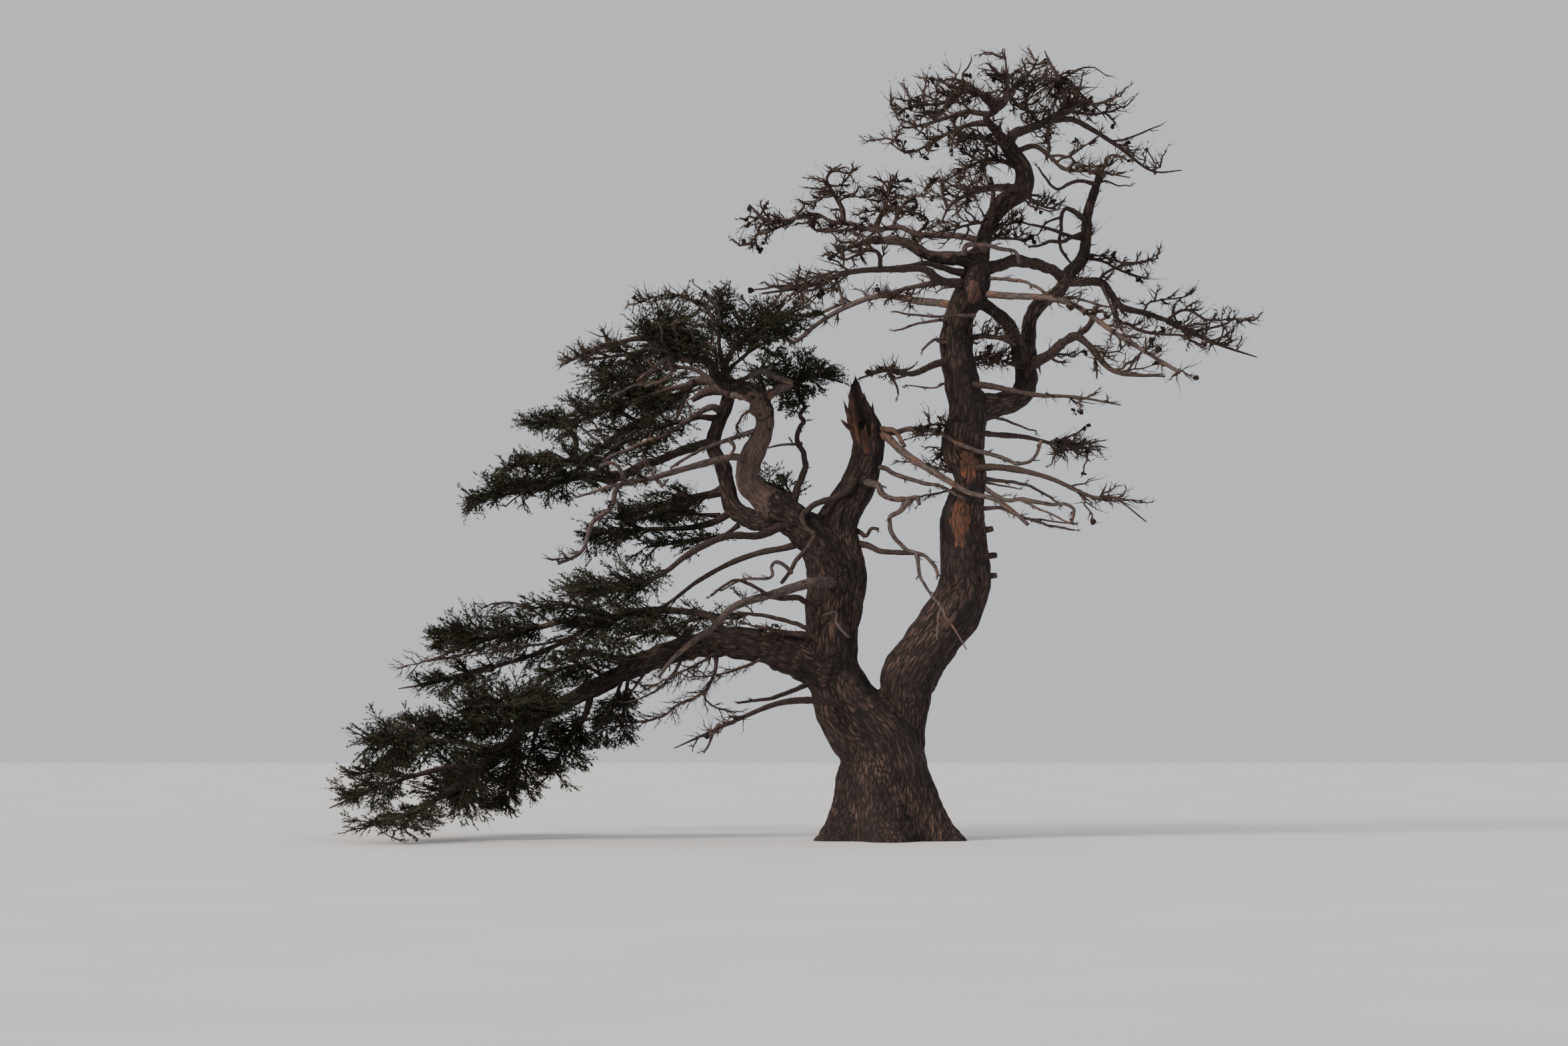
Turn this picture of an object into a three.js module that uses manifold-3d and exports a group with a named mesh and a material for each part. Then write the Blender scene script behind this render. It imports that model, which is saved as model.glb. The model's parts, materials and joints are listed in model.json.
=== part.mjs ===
// An old, wind-shaped Spanish fir: two trunks from one root, a broken hollow snag on the west one, boughs
// that trail to the west with sprays of needles, and a bare east crown of fine dead twigs.
// Millimetres, +Z up. The origin is the middle of the flat cut at ground level, and -Y is the front.
import * as THREE from "three";
import { mergeVertices } from "three/addons/utils/BufferGeometryUtils.js";
import Module from "manifold-3d";

const wasm = await Module();
wasm.setup();

// Lengths below are in centimetres, and CM turns them into millimetres.
const CM = 10;

// The tree is described as it is seen from one standpoint in front of it. A point is [across, up, depth]:
// across and up are read on the upright plane through both trunks, where the sight line crosses it, and
// depth says how far behind that plane (+) or before it (-) the point really lies.
const STANDPOINT = { across: -154.5, up: 150, distance: 4500 };

// How far the crown spreads to the front and back, as a share of the depths written below.
const DEPTH_SPREAD = 1.35;

// Gap that parts keep where they meet, in millimetres.
const SEAT_GAP = 0.35;

// Trunk shape.
const TRUNK_SIDES = 11;
const TRUNK_STEPS = 22;
const WEST_LOBES = 5;
const EAST_LOBES = 4;
const RIDGE = 0.07; // how far the lobes of a trunk stand out, as a share of its radius
const LOBE_TURN_HEIGHT = 60; // the lobes turn by one radian in this height
const FLARE = 0.42; // how much the foot widens at the ground
const FLARE_HEIGHT = 55;
const FLARE_ROOM = 0.3; // the share of that widening that twigs keep clear of all along a trunk
const FOOT_BELOW_CUT = 20; // how far the foot is swept on before the flat cut trims it
const CUT_BOX = 400;

// Bough and twig shape.
const BOUGH_SIDES = 5;
const THICK_BOUGH_SIDES = 7;
const THICK_BOUGH = 24;
const STEM_SIDES = 4;
const STEM_STEPS_PER_WAY_POINT = 1.25;

// A blade stands for one spray of twigs. Its tines are longest at its root, and vary in length and lean.
const TINE_SHARE_AT_ROOT = 1.15;
const SHORTEST_TINE = 0.75;
const TINE_VARIATION = 0.4;
const LEAN_VARIATION = 0.25;
const BLADE_NARROWING = 0.6;
const LEAST_DROOP = 0.5;
const SHORTEST_EDGE = 1; // in millimetres

// Where the blades of a mass leave its stem, as shares of the stem's length.
const FIRST_BLADE = 0.2;
const LAST_BLADE = 0.94;
const BLADE_SEARCH_STEP = 0.06;
const LEAST_SET_BACK = 0.05;
const SET_BACK_VARIATION = 0.12;
const BARE_SHARE_OF_STEM = 0.15;

// How far out the blades of a mass reach, and how far its tines may pass its space, as shares of it.
const LEAST_REACH = 0.88;
const REACH_VARIATION = 0.14;
const SPACE_SLACK = 1.1;

// Room that twigs and sprays keep to everything else, and the spacing of the points that test it.
const TWIG_ROOM = 3;
const TEST_SPACING = 5;
const GROUND_ROOM = 1.5;
const BLADE_TRIES = 4;

const COLOURS = {
  bark: "#4a4038",
  deadWood: "#7d7168",
  needles: "#2e3626",
  bareTwigs: "#3a2f29",
};

// Two trunks, each way-point with the thickness there: [across, up, depth, thickness].
const WEST_TRUNK = [
  [0, -FOOT_BELOW_CUT, 0, 140],
  [0, 0, 0, 138],
  [-3, 70, 0, 132],
  [-12, 134, 0, 116],
  [-60, 197, 0, 96],
  [-80, 250, 0, 74],
  [-83, 300, 0, 74],
  [-82, 340, 0, 82],
  [-74, 395, 0, 82],
  [-74, 468, 0, 60],
  [-46, 524, 5, 54],
  [-31, 565, 5, 46],
  [-28, 600, 0, 47],
  [-42, 635, -5, 43],
  [-49, 684, -10, 14],
];
const EAST_TRUNK = [
  [8, 90, 5, 70],
  [27, 190, 8, 68],
  [30, 235, 6, 88],
  [62, 288, 3, 76],
  [99, 340, 0, 78],
  [114, 375, 0, 74],
  [115, 420, 0, 67],
  [113, 475, 0, 62],
  [114, 540, 0, 60],
  [123, 615, 0, 53],
  [116, 675, 0, 46],
  [104, 735, 0, 49],
  [108, 780, 0, 43],
  [130, 830, 0, 48],
  [139, 868, 0, 28],
  [152, 915, 0, 23],
  [175, 952, 0, 30],
  [205, 975, 0, 33],
  [206, 1004, 0, 27],
  [190, 1028, 0, 26],
  [177, 1050, 0, 25],
];

// The broken top of the west trunk is hollow and open to the front.
const SNAG_HOLLOW = { from: [-36, 600, -12], to: [-46, 716, -46], thickness: 29, footShare: 0.35, steps: 5 };

// Boughs of the west trunk. thick holds the thickness at the root and at the tip, and taper bends the
// way from one to the other: 1 is straight, and more makes the limb thin out early. A dead bough has lost
// its bark.
const WEST_BOUGHS = [
  {
    name: "west_fork",
    from: ["west_trunk"],
    thick: [62, 28],
    taper: 1.3,
    steps: 10,
    through: [[-76, 385, 0], [-103, 441, -12], [-138, 474, -18], [-180, 503, -24], [-209, 535, -30],
      [-206, 562, -36], [-187, 603, -40], [-182, 625, -40], [-187, 647, -40]],
  },
  {
    name: "west_back_fork",
    from: ["west_fork"],
    thick: [30, 20],
    taper: 1,
    steps: 9,
    through: [[-150, 480, -15], [-192, 474, 30], [-230, 493, 50], [-240, 530, 60], [-247, 558, 66],
      [-261, 583, 70], [-257, 608, 70], [-242, 645, 65], [-235, 674, 60]],
  },
  {
    name: "west_crest_bough",
    from: ["west_fork"],
    thick: [25, 12],
    taper: 1.4,
    steps: 8,
    through: [[-189, 638, -44], [-196, 662, -56], [-215, 674, -64], [-246, 681, -78], [-258, 695, -86],
      [-267, 713, -96], [-308, 720, -120], [-329, 730, -135]],
  },
  {
    name: "west_long_bough",
    from: ["west_back_fork"],
    thick: [15, 8],
    taper: 1,
    steps: 10,
    through: [[-236, 664, 60], [-258, 682, 72], [-290, 681, 88], [-315, 657, 105], [-356, 629, 130],
      [-393, 611, 150], [-430, 582, 170], [-470, 563, 190]],
  },
  {
    name: "west_dark_bough",
    from: ["west_back_fork"],
    thick: [15, 11],
    taper: 1,
    steps: 6,
    through: [[-258, 592, 70], [-302, 581, 48], [-347, 563, 18], [-362, 561, 6], [-386, 547, -10],
      [-411, 534, -25]],
  },
  {
    name: "west_drooping_bough",
    dead: true,
    from: ["west_fork"],
    thick: [11, 5],
    taper: 1,
    steps: 10,
    through: [[-203, 562, -36], [-226, 570, -56], [-282, 558, -80], [-356, 537, -115], [-402, 526, -138],
      [-413, 493, -150], [-440, 472, -165], [-456, 429, -180], [-491, 410, -200]],
  },
  {
    name: "front_hanging_bough",
    dead: true,
    from: ["west_trunk"],
    thick: [18, 5],
    taper: 1,
    steps: 10,
    through: [[-76, 378, -20], [-110, 382, -56], [-163, 367, -76], [-232, 344, -102], [-257, 318, -114],
      [-296, 290, -132], [-324, 264, -142], [-341, 241, -150]],
  },
  {
    name: "low_bough",
    from: ["west_trunk"],
    thick: [58, 18],
    taper: 1.2,
    steps: 12,
    through: [[-82, 250, 0], [-143, 275, 2], [-184, 287, 6], [-245, 294, 10], [-280, 289, 14],
      [-330, 275, 20], [-380, 255, 25], [-420, 233, 27], [-473, 207, 31], [-550, 161, 40]],
  },
  {
    name: "low_bough_end",
    from: ["low_bough"],
    thick: [15, 8],
    taper: 1,
    steps: 6,
    through: [[-545, 165, 38], [-565, 142, 34], [-588, 125, 25], [-613, 102, 10], [-631, 85, 0],
      [-687, 50, -30]],
  },
  {
    name: "low_upper_bough",
    from: ["low_bough"],
    thick: [13, 6],
    taper: 1,
    steps: 10,
    through: [[-240, 296, 14], [-262, 330, 48], [-296, 338, 80], [-371, 340, 130], [-432, 324, 160],
      [-478, 296, 185], [-537, 271, 210], [-588, 256, 230]],
  },
  {
    name: "crossing_bough",
    dead: true,
    from: ["west_trunk"],
    thick: [13, 6],
    taper: 1,
    steps: 9,
    through: [[-27, 603, 0], [-5, 601, -32], [19, 581, -50], [51, 558, -62], [88, 536, -71],
      [120, 517, -76], [161, 506, -82], [189, 487, -86], [210, 468, -90]],
  },
];

// Boughs of the east trunk and of the second leader beside it.
const EAST_BOUGHS = [
  {
    name: "east_big_bough",
    from: ["east_trunk"],
    thick: [23, 13],
    taper: 1,
    steps: 6,
    through: [[138, 868, 0], [91, 870, -20], [60, 875, -35], [27, 894, -55], [-21, 897, -82]],
  },
  {
    name: "east_far_bough",
    from: ["east_trunk"],
    thick: [10, 5],
    taper: 1,
    steps: 10,
    through: [[146, 895, 0], [110, 903, 25], [45, 906, 70], [18, 917, 90], [-19, 912, 115],
      [-50, 921, 140], [-83, 925, 160], [-105, 936, 175], [-138, 930, 195], [-170, 923, 215]],
  },
  {
    name: "east_bent_bough",
    dead: true,
    from: ["east_trunk"],
    thick: [13, 5],
    taper: 1,
    steps: 10,
    through: [[112, 795, 0], [84, 801, 25], [45, 805, 60], [-10, 813, 95], [-65, 794, 130],
      [-102, 772, 150], [-142, 743, 175], [-160, 758, 187], [-173, 772, 195], [-197, 771, 205]],
  },
  {
    name: "crown_left_bough",
    from: ["east_trunk"],
    thick: [15, 8],
    taper: 1,
    steps: 6,
    through: [[181, 1042, -3], [167, 1060, -17], [157, 1072, -25], [150, 1083, -30], [160, 1092, -32],
      [168, 1104, -35]],
  },
  {
    name: "crown_right_bough",
    from: ["east_trunk"],
    thick: [17, 8],
    taper: 1,
    steps: 7,
    through: [[180, 1040, 2], [193, 1059, 18], [210, 1065, 30], [245, 1080, 50], [267, 1097, 65],
      [270, 1110, 70], [262, 1133, 75]],
  },
  {
    name: "second_leader_knee",
    from: ["east_trunk"],
    thick: [38, 30],
    taper: 1,
    steps: 6,
    through: [[120, 640, 0], [170, 650, 30], [200, 662, 46], [208, 685, 50], [207, 710, 50],
      [206, 735, 52]],
  },
  {
    name: "second_leader_prong",
    from: ["second_leader_knee", "east_trunk"],
    thick: [21, 18],
    taper: 1,
    steps: 5,
    through: [[200, 712, 44], [194, 745, 34], [182, 769, 26], [160, 790, 14], [132, 808, 0]],
  },
  {
    name: "second_leader",
    from: ["second_leader_knee"],
    thick: [23, 9],
    taper: 0.4,
    steps: 13,
    through: [[211, 714, 57], [212, 748, 67], [216, 780, 67], [232, 803, 74], [258, 820, 78],
      [272, 845, 82], [294, 870, 90], [300, 905, 94], [301, 930, 97], [306, 952, 101], [315, 978, 105],
      [320, 997, 108]],
  },
  {
    name: "right_long_bough",
    from: ["second_leader"],
    thick: [16, 7],
    taper: 1,
    steps: 8,
    through: [[268, 836, 81], [289, 834, 88], [322, 832, 98], [336, 815, 104], [350, 797, 108],
      [389, 786, 120], [421, 775, 130]],
  },
  {
    name: "right_low_bough",
    dead: true,
    from: ["east_trunk"],
    thick: [12, 5],
    taper: 1,
    steps: 10,
    through: [[128, 818, 0], [175, 813, -28], [245, 809, -65], [282, 798, -86], [341, 757, -120],
      [397, 722, -155], [438, 697, -178]],
  },
];

// Masses of needle sprays. Each grows from one stem, which follows its own way-points, and fills the
// egg-shaped space around its middle, given with its half sizes.
const NEEDLE_MASSES = [
  {
    name: "crest_tip_foliage",
    from: ["west_crest_bough"],
    onTip: true,
    stem: [[-329, 730, -135], [-360, 748, -150], [-420, 737, -165], [-478, 713, -180]],
    middle: [-312, 766, -135],
    half: [74, 52, 80],
    share: 1.75,
  },
  {
    name: "crest_foliage",
    from: ["west_crest_bough"],
    stem: [[-246, 681, -78], [-240, 715, -80], [-208, 755, -74], [-150, 785, -60]],
    middle: [-195, 772, -70],
    half: [68, 44, 62],
  },
  {
    name: "hook_foliage",
    from: ["west_fork"],
    stem: [[-185, 632, -36], [-178, 662, -18], [-145, 680, 0], [-100, 690, 15], [-66, 681, 25]],
    middle: [-134, 698, 8],
    half: [74, 38, 50],
  },
  {
    name: "long_bough_foliage",
    from: ["west_long_bough"],
    stem: [[-356, 629, 130], [-376, 658, 140], [-405, 685, 150], [-442, 705, 160]],
    middle: [-372, 668, 165],
    half: [108, 52, 80],
  },
  {
    name: "long_bough_tip_foliage",
    from: ["west_long_bough"],
    onTip: true,
    stem: [[-470, 563, 190], [-466, 594, 194], [-482, 616, 200], [-520, 621, 207], [-556, 618, 215]],
    middle: [-505, 626, 203],
    half: [54, 33, 58],
  },
  {
    name: "dark_bough_foliage",
    from: ["west_dark_bough"],
    onTip: true,
    stem: [[-411, 534, -25], [-450, 540, -40], [-540, 520, -70], [-625, 502, -90]],
    middle: [-524, 537, -62],
    half: [94, 40, 78],
    share: 1.3,
  },
  {
    name: "back_fork_foliage",
    from: ["west_back_fork"],
    stem: [[-240, 530, 60], [-262, 516, 95], [-322, 502, 140], [-405, 482, 185]],
    middle: [-340, 492, 160],
    half: [74, 28, 66],
  },
  {
    name: "inner_bough_foliage",
    from: ["west_back_fork"],
    stem: [[-229, 490, 48], [-258, 473, 46], [-296, 464, 52], [-382, 461, 70], [-440, 452, 85]],
    middle: [-416, 455, 75],
    half: [54, 34, 50],
  },
  {
    name: "under_bough_foliage",
    from: ["west_fork"],
    thick: [12, 4],
    stem: [[-145, 475, -18], [-189, 453, -48], [-240, 451, -80], [-296, 425, -115], [-339, 393, -145],
      [-400, 372, -175], [-490, 362, -210]],
    middle: [-420, 384, -180],
    half: [80, 34, 66],
  },
  {
    name: "fork_foliage",
    from: ["west_fork"],
    stem: [[-116, 446, -10], [-152, 434, 12], [-189, 427, 25], [-232, 412, 35], [-283, 384, 45],
      [-339, 345, 55], [-460, 318, 70]],
    middle: [-412, 326, 80],
    half: [92, 37, 62],
  },
  {
    name: "low_upper_foliage",
    from: ["low_upper_bough"],
    stem: [[-440, 320, 164], [-470, 326, 172], [-524, 314, 186], [-600, 296, 200], [-688, 264, 215]],
    middle: [-590, 308, 198],
    half: [104, 46, 74],
    share: 1.3,
  },
  {
    name: "low_upper_tip_foliage",
    from: ["low_upper_bough"],
    onTip: true,
    stem: [[-588, 256, 230], [-631, 245, 244], [-680, 232, 255], [-728, 224, 265]],
    middle: [-656, 238, 250],
    half: [60, 30, 56],
  },
  {
    name: "low_middle_foliage",
    from: ["low_bough"],
    stem: [[-530, 172, 38], [-546, 190, 6], [-576, 198, -26], [-640, 188, -52]],
    middle: [-548, 204, -46],
    half: [112, 46, 66],
  },
  {
    name: "low_hanging_foliage",
    from: ["low_bough"],
    stem: [[-440, 222, 29], [-450, 185, 42], [-480, 140, 58], [-505, 95, 66], [-522, 78, 68]],
    middle: [-488, 140, 62],
    half: [62, 68, 62],
    share: 1.3,
  },
  {
    name: "low_outer_foliage",
    from: ["low_bough_end"],
    stem: [[-588, 125, 25], [-622, 142, 48], [-670, 148, 68], [-786, 150, 92]],
    middle: [-730, 142, 80],
    half: [74, 58, 62],
  },
  {
    name: "low_far_tip_foliage",
    from: ["low_bough_end"],
    stem: [[-613, 102, 10], [-645, 108, -8], [-700, 96, -28], [-766, 74, -45], [-829, 47, -60]],
    middle: [-768, 70, -42],
    half: [64, 36, 58],
  },
  {
    name: "low_end_foliage",
    from: ["low_bough_end"],
    onTip: true,
    stem: [[-687, 50, -30], [-706, 40, -52], [-735, 30, -86], [-770, 22, -120]],
    middle: [-722, 32, -100],
    half: [82, 29, 76],
  },
  {
    name: "low_inner_foliage",
    from: ["low_bough_end"],
    stem: [[-600, 114, 18], [-612, 104, 50], [-622, 92, 82], [-636, 66, 116]],
    middle: [-620, 92, 92],
    half: [84, 74, 62],
  },
];

// Masses of bare twigs, with knobs where cones stood.
const BARE_MASSES = [
  {
    name: "crown_left_twigs",
    from: ["crown_left_bough"],
    onTip: true,
    stem: [[168, 1104, -35], [150, 1116, -55], [110, 1122, -85], [80, 1104, -105], [14, 1112, -140]],
    middle: [92, 1122, -95],
    half: [84, 40, 66],
    share: 1.4,
  },
  {
    name: "crown_top_twigs",
    from: ["crown_left_bough"],
    stem: [[161, 1093, -32], [180, 1108, -18], [182, 1140, -14], [178, 1189, -10]],
    middle: [162, 1149, -12],
    half: [52, 40, 44],
  },
  {
    name: "crown_right_twigs",
    from: ["crown_right_bough"],
    onTip: true,
    stem: [[262, 1133, 75], [256, 1150, 80], [246, 1168, 88], [239, 1185, 95]],
    middle: [272, 1107, 90],
    half: [96, 46, 66],
    share: 1.3,
  },
  {
    name: "crown_lower_left_twigs",
    from: ["crown_left_bough"],
    stem: [[155, 1075, -26], [128, 1073, -14], [90, 1058, 6], [60, 1040, 24], [30, 1030, 35], [4, 1046, 42]],
    middle: [64, 1052, 28],
    half: [80, 32, 56],
  },
  {
    name: "crown_outer_twigs",
    from: ["crown_right_bough"],
    thick: [10, 4],
    stem: [[245, 1080, 50], [280, 1080, 78], [303, 1069, 98], [348, 1040, 130], [400, 1002, 165],
      [444, 1003, 195]],
    middle: [380, 1040, 165],
    half: [50, 31, 60],
  },
  {
    name: "crown_side_twigs",
    from: ["east_trunk"],
    stem: [[192, 1030, 0], [222, 1040, -16], [242, 1028, -28], [266, 1006, -45], [315, 1001, -75],
      [366, 992, -110]],
    middle: [312, 1012, -75],
    half: [56, 28, 54],
  },
  {
    name: "crown_hooked_twigs",
    from: ["east_trunk"],
    thick: [12, 4],
    stem: [[200, 974, 0], [176, 977, -30], [137, 972, -58], [96, 950, -86], [81, 922, -98]],
    middle: [108, 974, -70],
    half: [66, 46, 54],
  },
  {
    name: "far_bough_dense_twigs",
    from: ["east_far_bough"],
    stem: [[-19, 912, 115], [-8, 936, 118], [0, 955, 120], [6, 988, 126]],
    middle: [4, 967, 120],
    half: [48, 34, 50],
  },
  {
    name: "far_bough_upright_twigs",
    from: ["east_far_bough"],
    stem: [[-66, 924, 150], [-67, 944, 150], [-80, 968, 146], [-90, 992, 140], [-68, 1013, 134]],
    middle: [-90, 978, 144],
    half: [50, 38, 48],
  },
  {
    name: "far_bough_tip_twigs",
    from: ["east_far_bough"],
    onTip: true,
    stem: [[-170, 923, 215], [-186, 930, 222], [-207, 951, 230]],
    middle: [-194, 922, 222],
    half: [36, 40, 42],
  },
  {
    name: "big_bough_twigs",
    from: ["east_big_bough"],
    onTip: true,
    stem: [[-21, 897, -82], [-44, 890, -95], [-68, 880, -110], [-88, 870, -120]],
    middle: [-56, 884, -102],
    half: [42, 32, 44],
  },
  {
    name: "level_bough_twigs",
    from: ["east_trunk"],
    thick: [13, 4],
    stem: [[125, 830, 0], [80, 836, -38], [58, 852, -62], [9, 853, -92], [-58, 848, -132],
      [-120, 827, -168], [-188, 816, -206]],
    middle: [-120, 824, -168],
    half: [70, 43, 56],
  },
  {
    name: "east_left_twigs",
    from: ["east_trunk"],
    thick: [12, 4],
    stem: [[108, 717, 0], [74, 710, -20], [37, 695, -45], [0, 700, -72], [-42, 688, -98]],
    middle: [-4, 702, -74],
    half: [42, 28, 42],
  },
  {
    name: "right_long_tip_twigs",
    from: ["right_long_bough"],
    onTip: true,
    stem: [[421, 775, 130], [446, 762, 140], [500, 738, 158], [554, 720, 175]],
    middle: [480, 764, 152],
    half: [78, 50, 62],
  },
  {
    name: "right_forked_twigs",
    from: ["second_leader_knee"],
    thick: [14, 4],
    stem: [[208, 708, 50], [244, 724, 34], [280, 752, 12], [299, 741, 0], [338, 700, -35], [416, 691, -95]],
    middle: [348, 720, -25],
    half: [72, 35, 60],
  },
  {
    name: "right_pale_twigs",
    from: ["east_trunk"],
    thick: [10, 3],
    stem: [[118, 679, 0], [150, 677, -38], [225, 663, -105], [283, 660, -155], [349, 648, -210]],
    middle: [300, 655, -170],
    half: [60, 24, 50],
  },
  {
    name: "right_back_twigs",
    from: ["east_trunk"],
    thick: [10, 3],
    stem: [[122, 610, 0], [156, 604, 48], [205, 600, 95], [263, 588, 165], [327, 595, 235]],
    middle: [282, 580, 190],
    half: [56, 34, 58],
  },
  {
    name: "right_drooping_twigs",
    from: ["east_trunk"],
    thick: [11, 4],
    stem: [[114, 553, 0], [171, 554, -48], [240, 539, -115], [307, 510, -180], [339, 508, -210],
      [386, 473, -250]],
    middle: [332, 508, -205],
    half: [62, 32, 56],
  },
  {
    name: "low_front_twigs",
    from: ["west_trunk"],
    thick: [12, 4],
    stem: [[-62, 200, -20], [-118, 207, -72], [-164, 202, -100], [-235, 173, -140], [-317, 136, -195]],
    middle: [-262, 160, -160],
    half: [60, 30, 50],
  },
];

// Where a point seen from the standpoint really is, in millimetres.
function place([across, up, depth]) {
  const behind = depth * DEPTH_SPREAD;
  const spread = (STANDPOINT.distance + behind) / STANDPOINT.distance;
  return new THREE.Vector3(
    (STANDPOINT.across + (across - STANDPOINT.across) * spread) * CM,
    behind * CM,
    (STANDPOINT.up + (up - STANDPOINT.up) * spread) * CM,
  );
}

// Seeded numbers from 0 to 1, the same on every run (the mulberry32 generator).
function seeded(seed) {
  let state = seed;
  return () => {
    state = (state + 0x6d2b79f5) | 0;
    let mixed = Math.imul(state ^ (state >>> 15), 1 | state);
    mixed = (mixed + Math.imul(mixed ^ (mixed >>> 7), 61 | mixed)) ^ mixed;
    return ((mixed ^ (mixed >>> 14)) >>> 0) / 4294967296;
  };
}

// A closed geometry as a solid that can be joined and cut.
function solidOf(geometry) {
  return new wasm.Manifold(
    new wasm.Mesh({
      numProp: 3,
      vertProperties: new Float32Array(geometry.getAttribute("position").array),
      triVerts: new Uint32Array(geometry.index.array),
    }),
  );
}

// Only the positions of a geometry, with shared corners merged, so that it is closed.
function closed(geometry) {
  geometry.deleteAttribute("normal");
  geometry.deleteAttribute("uv");
  return mergeVertices(geometry);
}

// The largest single body of a solid: scraps that a cut leaves are dropped, and sealed hollows filled.
function largestBody(solid) {
  return solid.decompose().reduce((best, body) => (body.volume() > best.volume() ? body : best));
}

// A tube bent along a curve. radiusAt(along, angle, point) gives its radius in millimetres, and grown is
// added to that and to both ends.
function bentTube(curve, { sides, steps, pointed = false, grown = 0, radiusAt }) {
  const tube = closed(new THREE.CylinderGeometry(pointed ? 0 : 1, 1, 1, sides, steps));
  const frames = curve.computeFrenetFrames(steps);
  const corners = tube.getAttribute("position");
  const corner = new THREE.Vector3();
  for (let i = 0; i < corners.count; i += 1) {
    corner.fromBufferAttribute(corners, i);
    const step = Math.round((corner.y + 0.5) * steps);
    const centre = curve.getPointAt(step / steps);
    const angle = Math.atan2(corner.x, corner.z);
    const reach = Math.hypot(corner.x, corner.z) * (radiusAt(step / steps, angle, centre) + grown);
    if (step === 0) centre.addScaledVector(frames.tangents[step], -grown);
    if (step === steps) centre.addScaledVector(frames.tangents[step], grown);
    centre.addScaledVector(frames.normals[step], reach * Math.cos(angle));
    centre.addScaledVector(frames.binormals[step], reach * Math.sin(angle));
    corners.setXYZ(i, centre.x, centre.y, centre.z);
  }
  return solidOf(tube);
}

// The thickness given with each way-point of a trunk, read between them.
function trunkThickness(wayPoints, along) {
  const at = along * (wayPoints.length - 1);
  const before = Math.min(Math.floor(at), wayPoints.length - 2);
  return THREE.MathUtils.lerp(wayPoints[before][3], wayPoints[before + 1][3], at - before);
}

// A trunk: lobed along its length, and widening at its foot.
function trunkSolid(wayPoints, lobes, grown) {
  const curve = new THREE.CatmullRomCurve3(wayPoints.map(place));
  const radiusAt = (along, angle, centre) => {
    const height = Math.max(centre.z / CM, 0);
    const flare = 1 + FLARE * Math.exp(-height / FLARE_HEIGHT);
    const rib = 1 + RIDGE * flare * Math.cos(lobes * angle + height / LOBE_TURN_HEIGHT);
    const halfThick = (trunkThickness(wayPoints, curve.getUtoTmapping(along)) / 2) * CM;
    return halfThick * flare * rib;
  };
  return bentTube(curve, { sides: TRUNK_SIDES, steps: TRUNK_STEPS, grown, radiusAt });
}

// The west trunk with the foot of the clump, cut flat at the ground, and its hollow broken top.
function westTrunk(grown) {
  const box = new THREE.BoxGeometry(CUT_BOX * CM, CUT_BOX * CM, CUT_BOX * CM);
  box.translate(0, 0, (-CUT_BOX / 2) * CM);
  const hollowLine = new THREE.LineCurve3(place(SNAG_HOLLOW.from), place(SNAG_HOLLOW.to));
  const radiusAt = (along) =>
    (SNAG_HOLLOW.thickness / 2) * CM * THREE.MathUtils.lerp(SNAG_HOLLOW.footShare, 1, along);
  const hollow = bentTube(hollowLine, { sides: BOUGH_SIDES, steps: SNAG_HOLLOW.steps, radiusAt });
  return trunkSolid(WEST_TRUNK, WEST_LOBES, grown).subtract(solidOf(closed(box))).subtract(hollow);
}

// The east trunk, cut clear of the foot that both share.
function eastTrunk(grown, foot) {
  const trunk = trunkSolid(EAST_TRUNK, EAST_LOBES, grown);
  return foot ? largestBody(trunk.subtract(foot)) : trunk;
}

// The curve of a limb and the thickness along it.
function limbCourse(through, thick, taper) {
  const curve = new THREE.CatmullRomCurve3(through.map(place), false, "centripetal");
  const thicknessAt = (along) => thick[1] + (thick[0] - thick[1]) * (1 - along) ** taper;
  return { curve, thicknessAt };
}

// Balls strung along a course stand for its room when twigs are tested against it.
function roomAlong(course, owner) {
  const count = Math.ceil(course.curve.getLength() / (TEST_SPACING * CM));
  const balls = [];
  for (let i = 0; i <= count; i += 1) {
    const radius = (course.thicknessAt(i / count) / 2) * CM;
    balls.push({ centre: course.curve.getPointAt(i / count), radius, owner });
  }
  return balls;
}

// True where a course stays above the ground and clear of every ball but those of its own carrier.
function isClear(course, carrier, taken) {
  return roomAlong(course, carrier).every((ball) => {
    if (ball.centre.z - ball.radius < GROUND_ROOM * CM) return false;
    return taken.every((other) => {
      const room = ball.radius + other.radius + TWIG_ROOM * CM;
      return other.owner === carrier || other.centre.distanceToSquared(ball.centre) > room * room;
    });
  });
}

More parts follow.
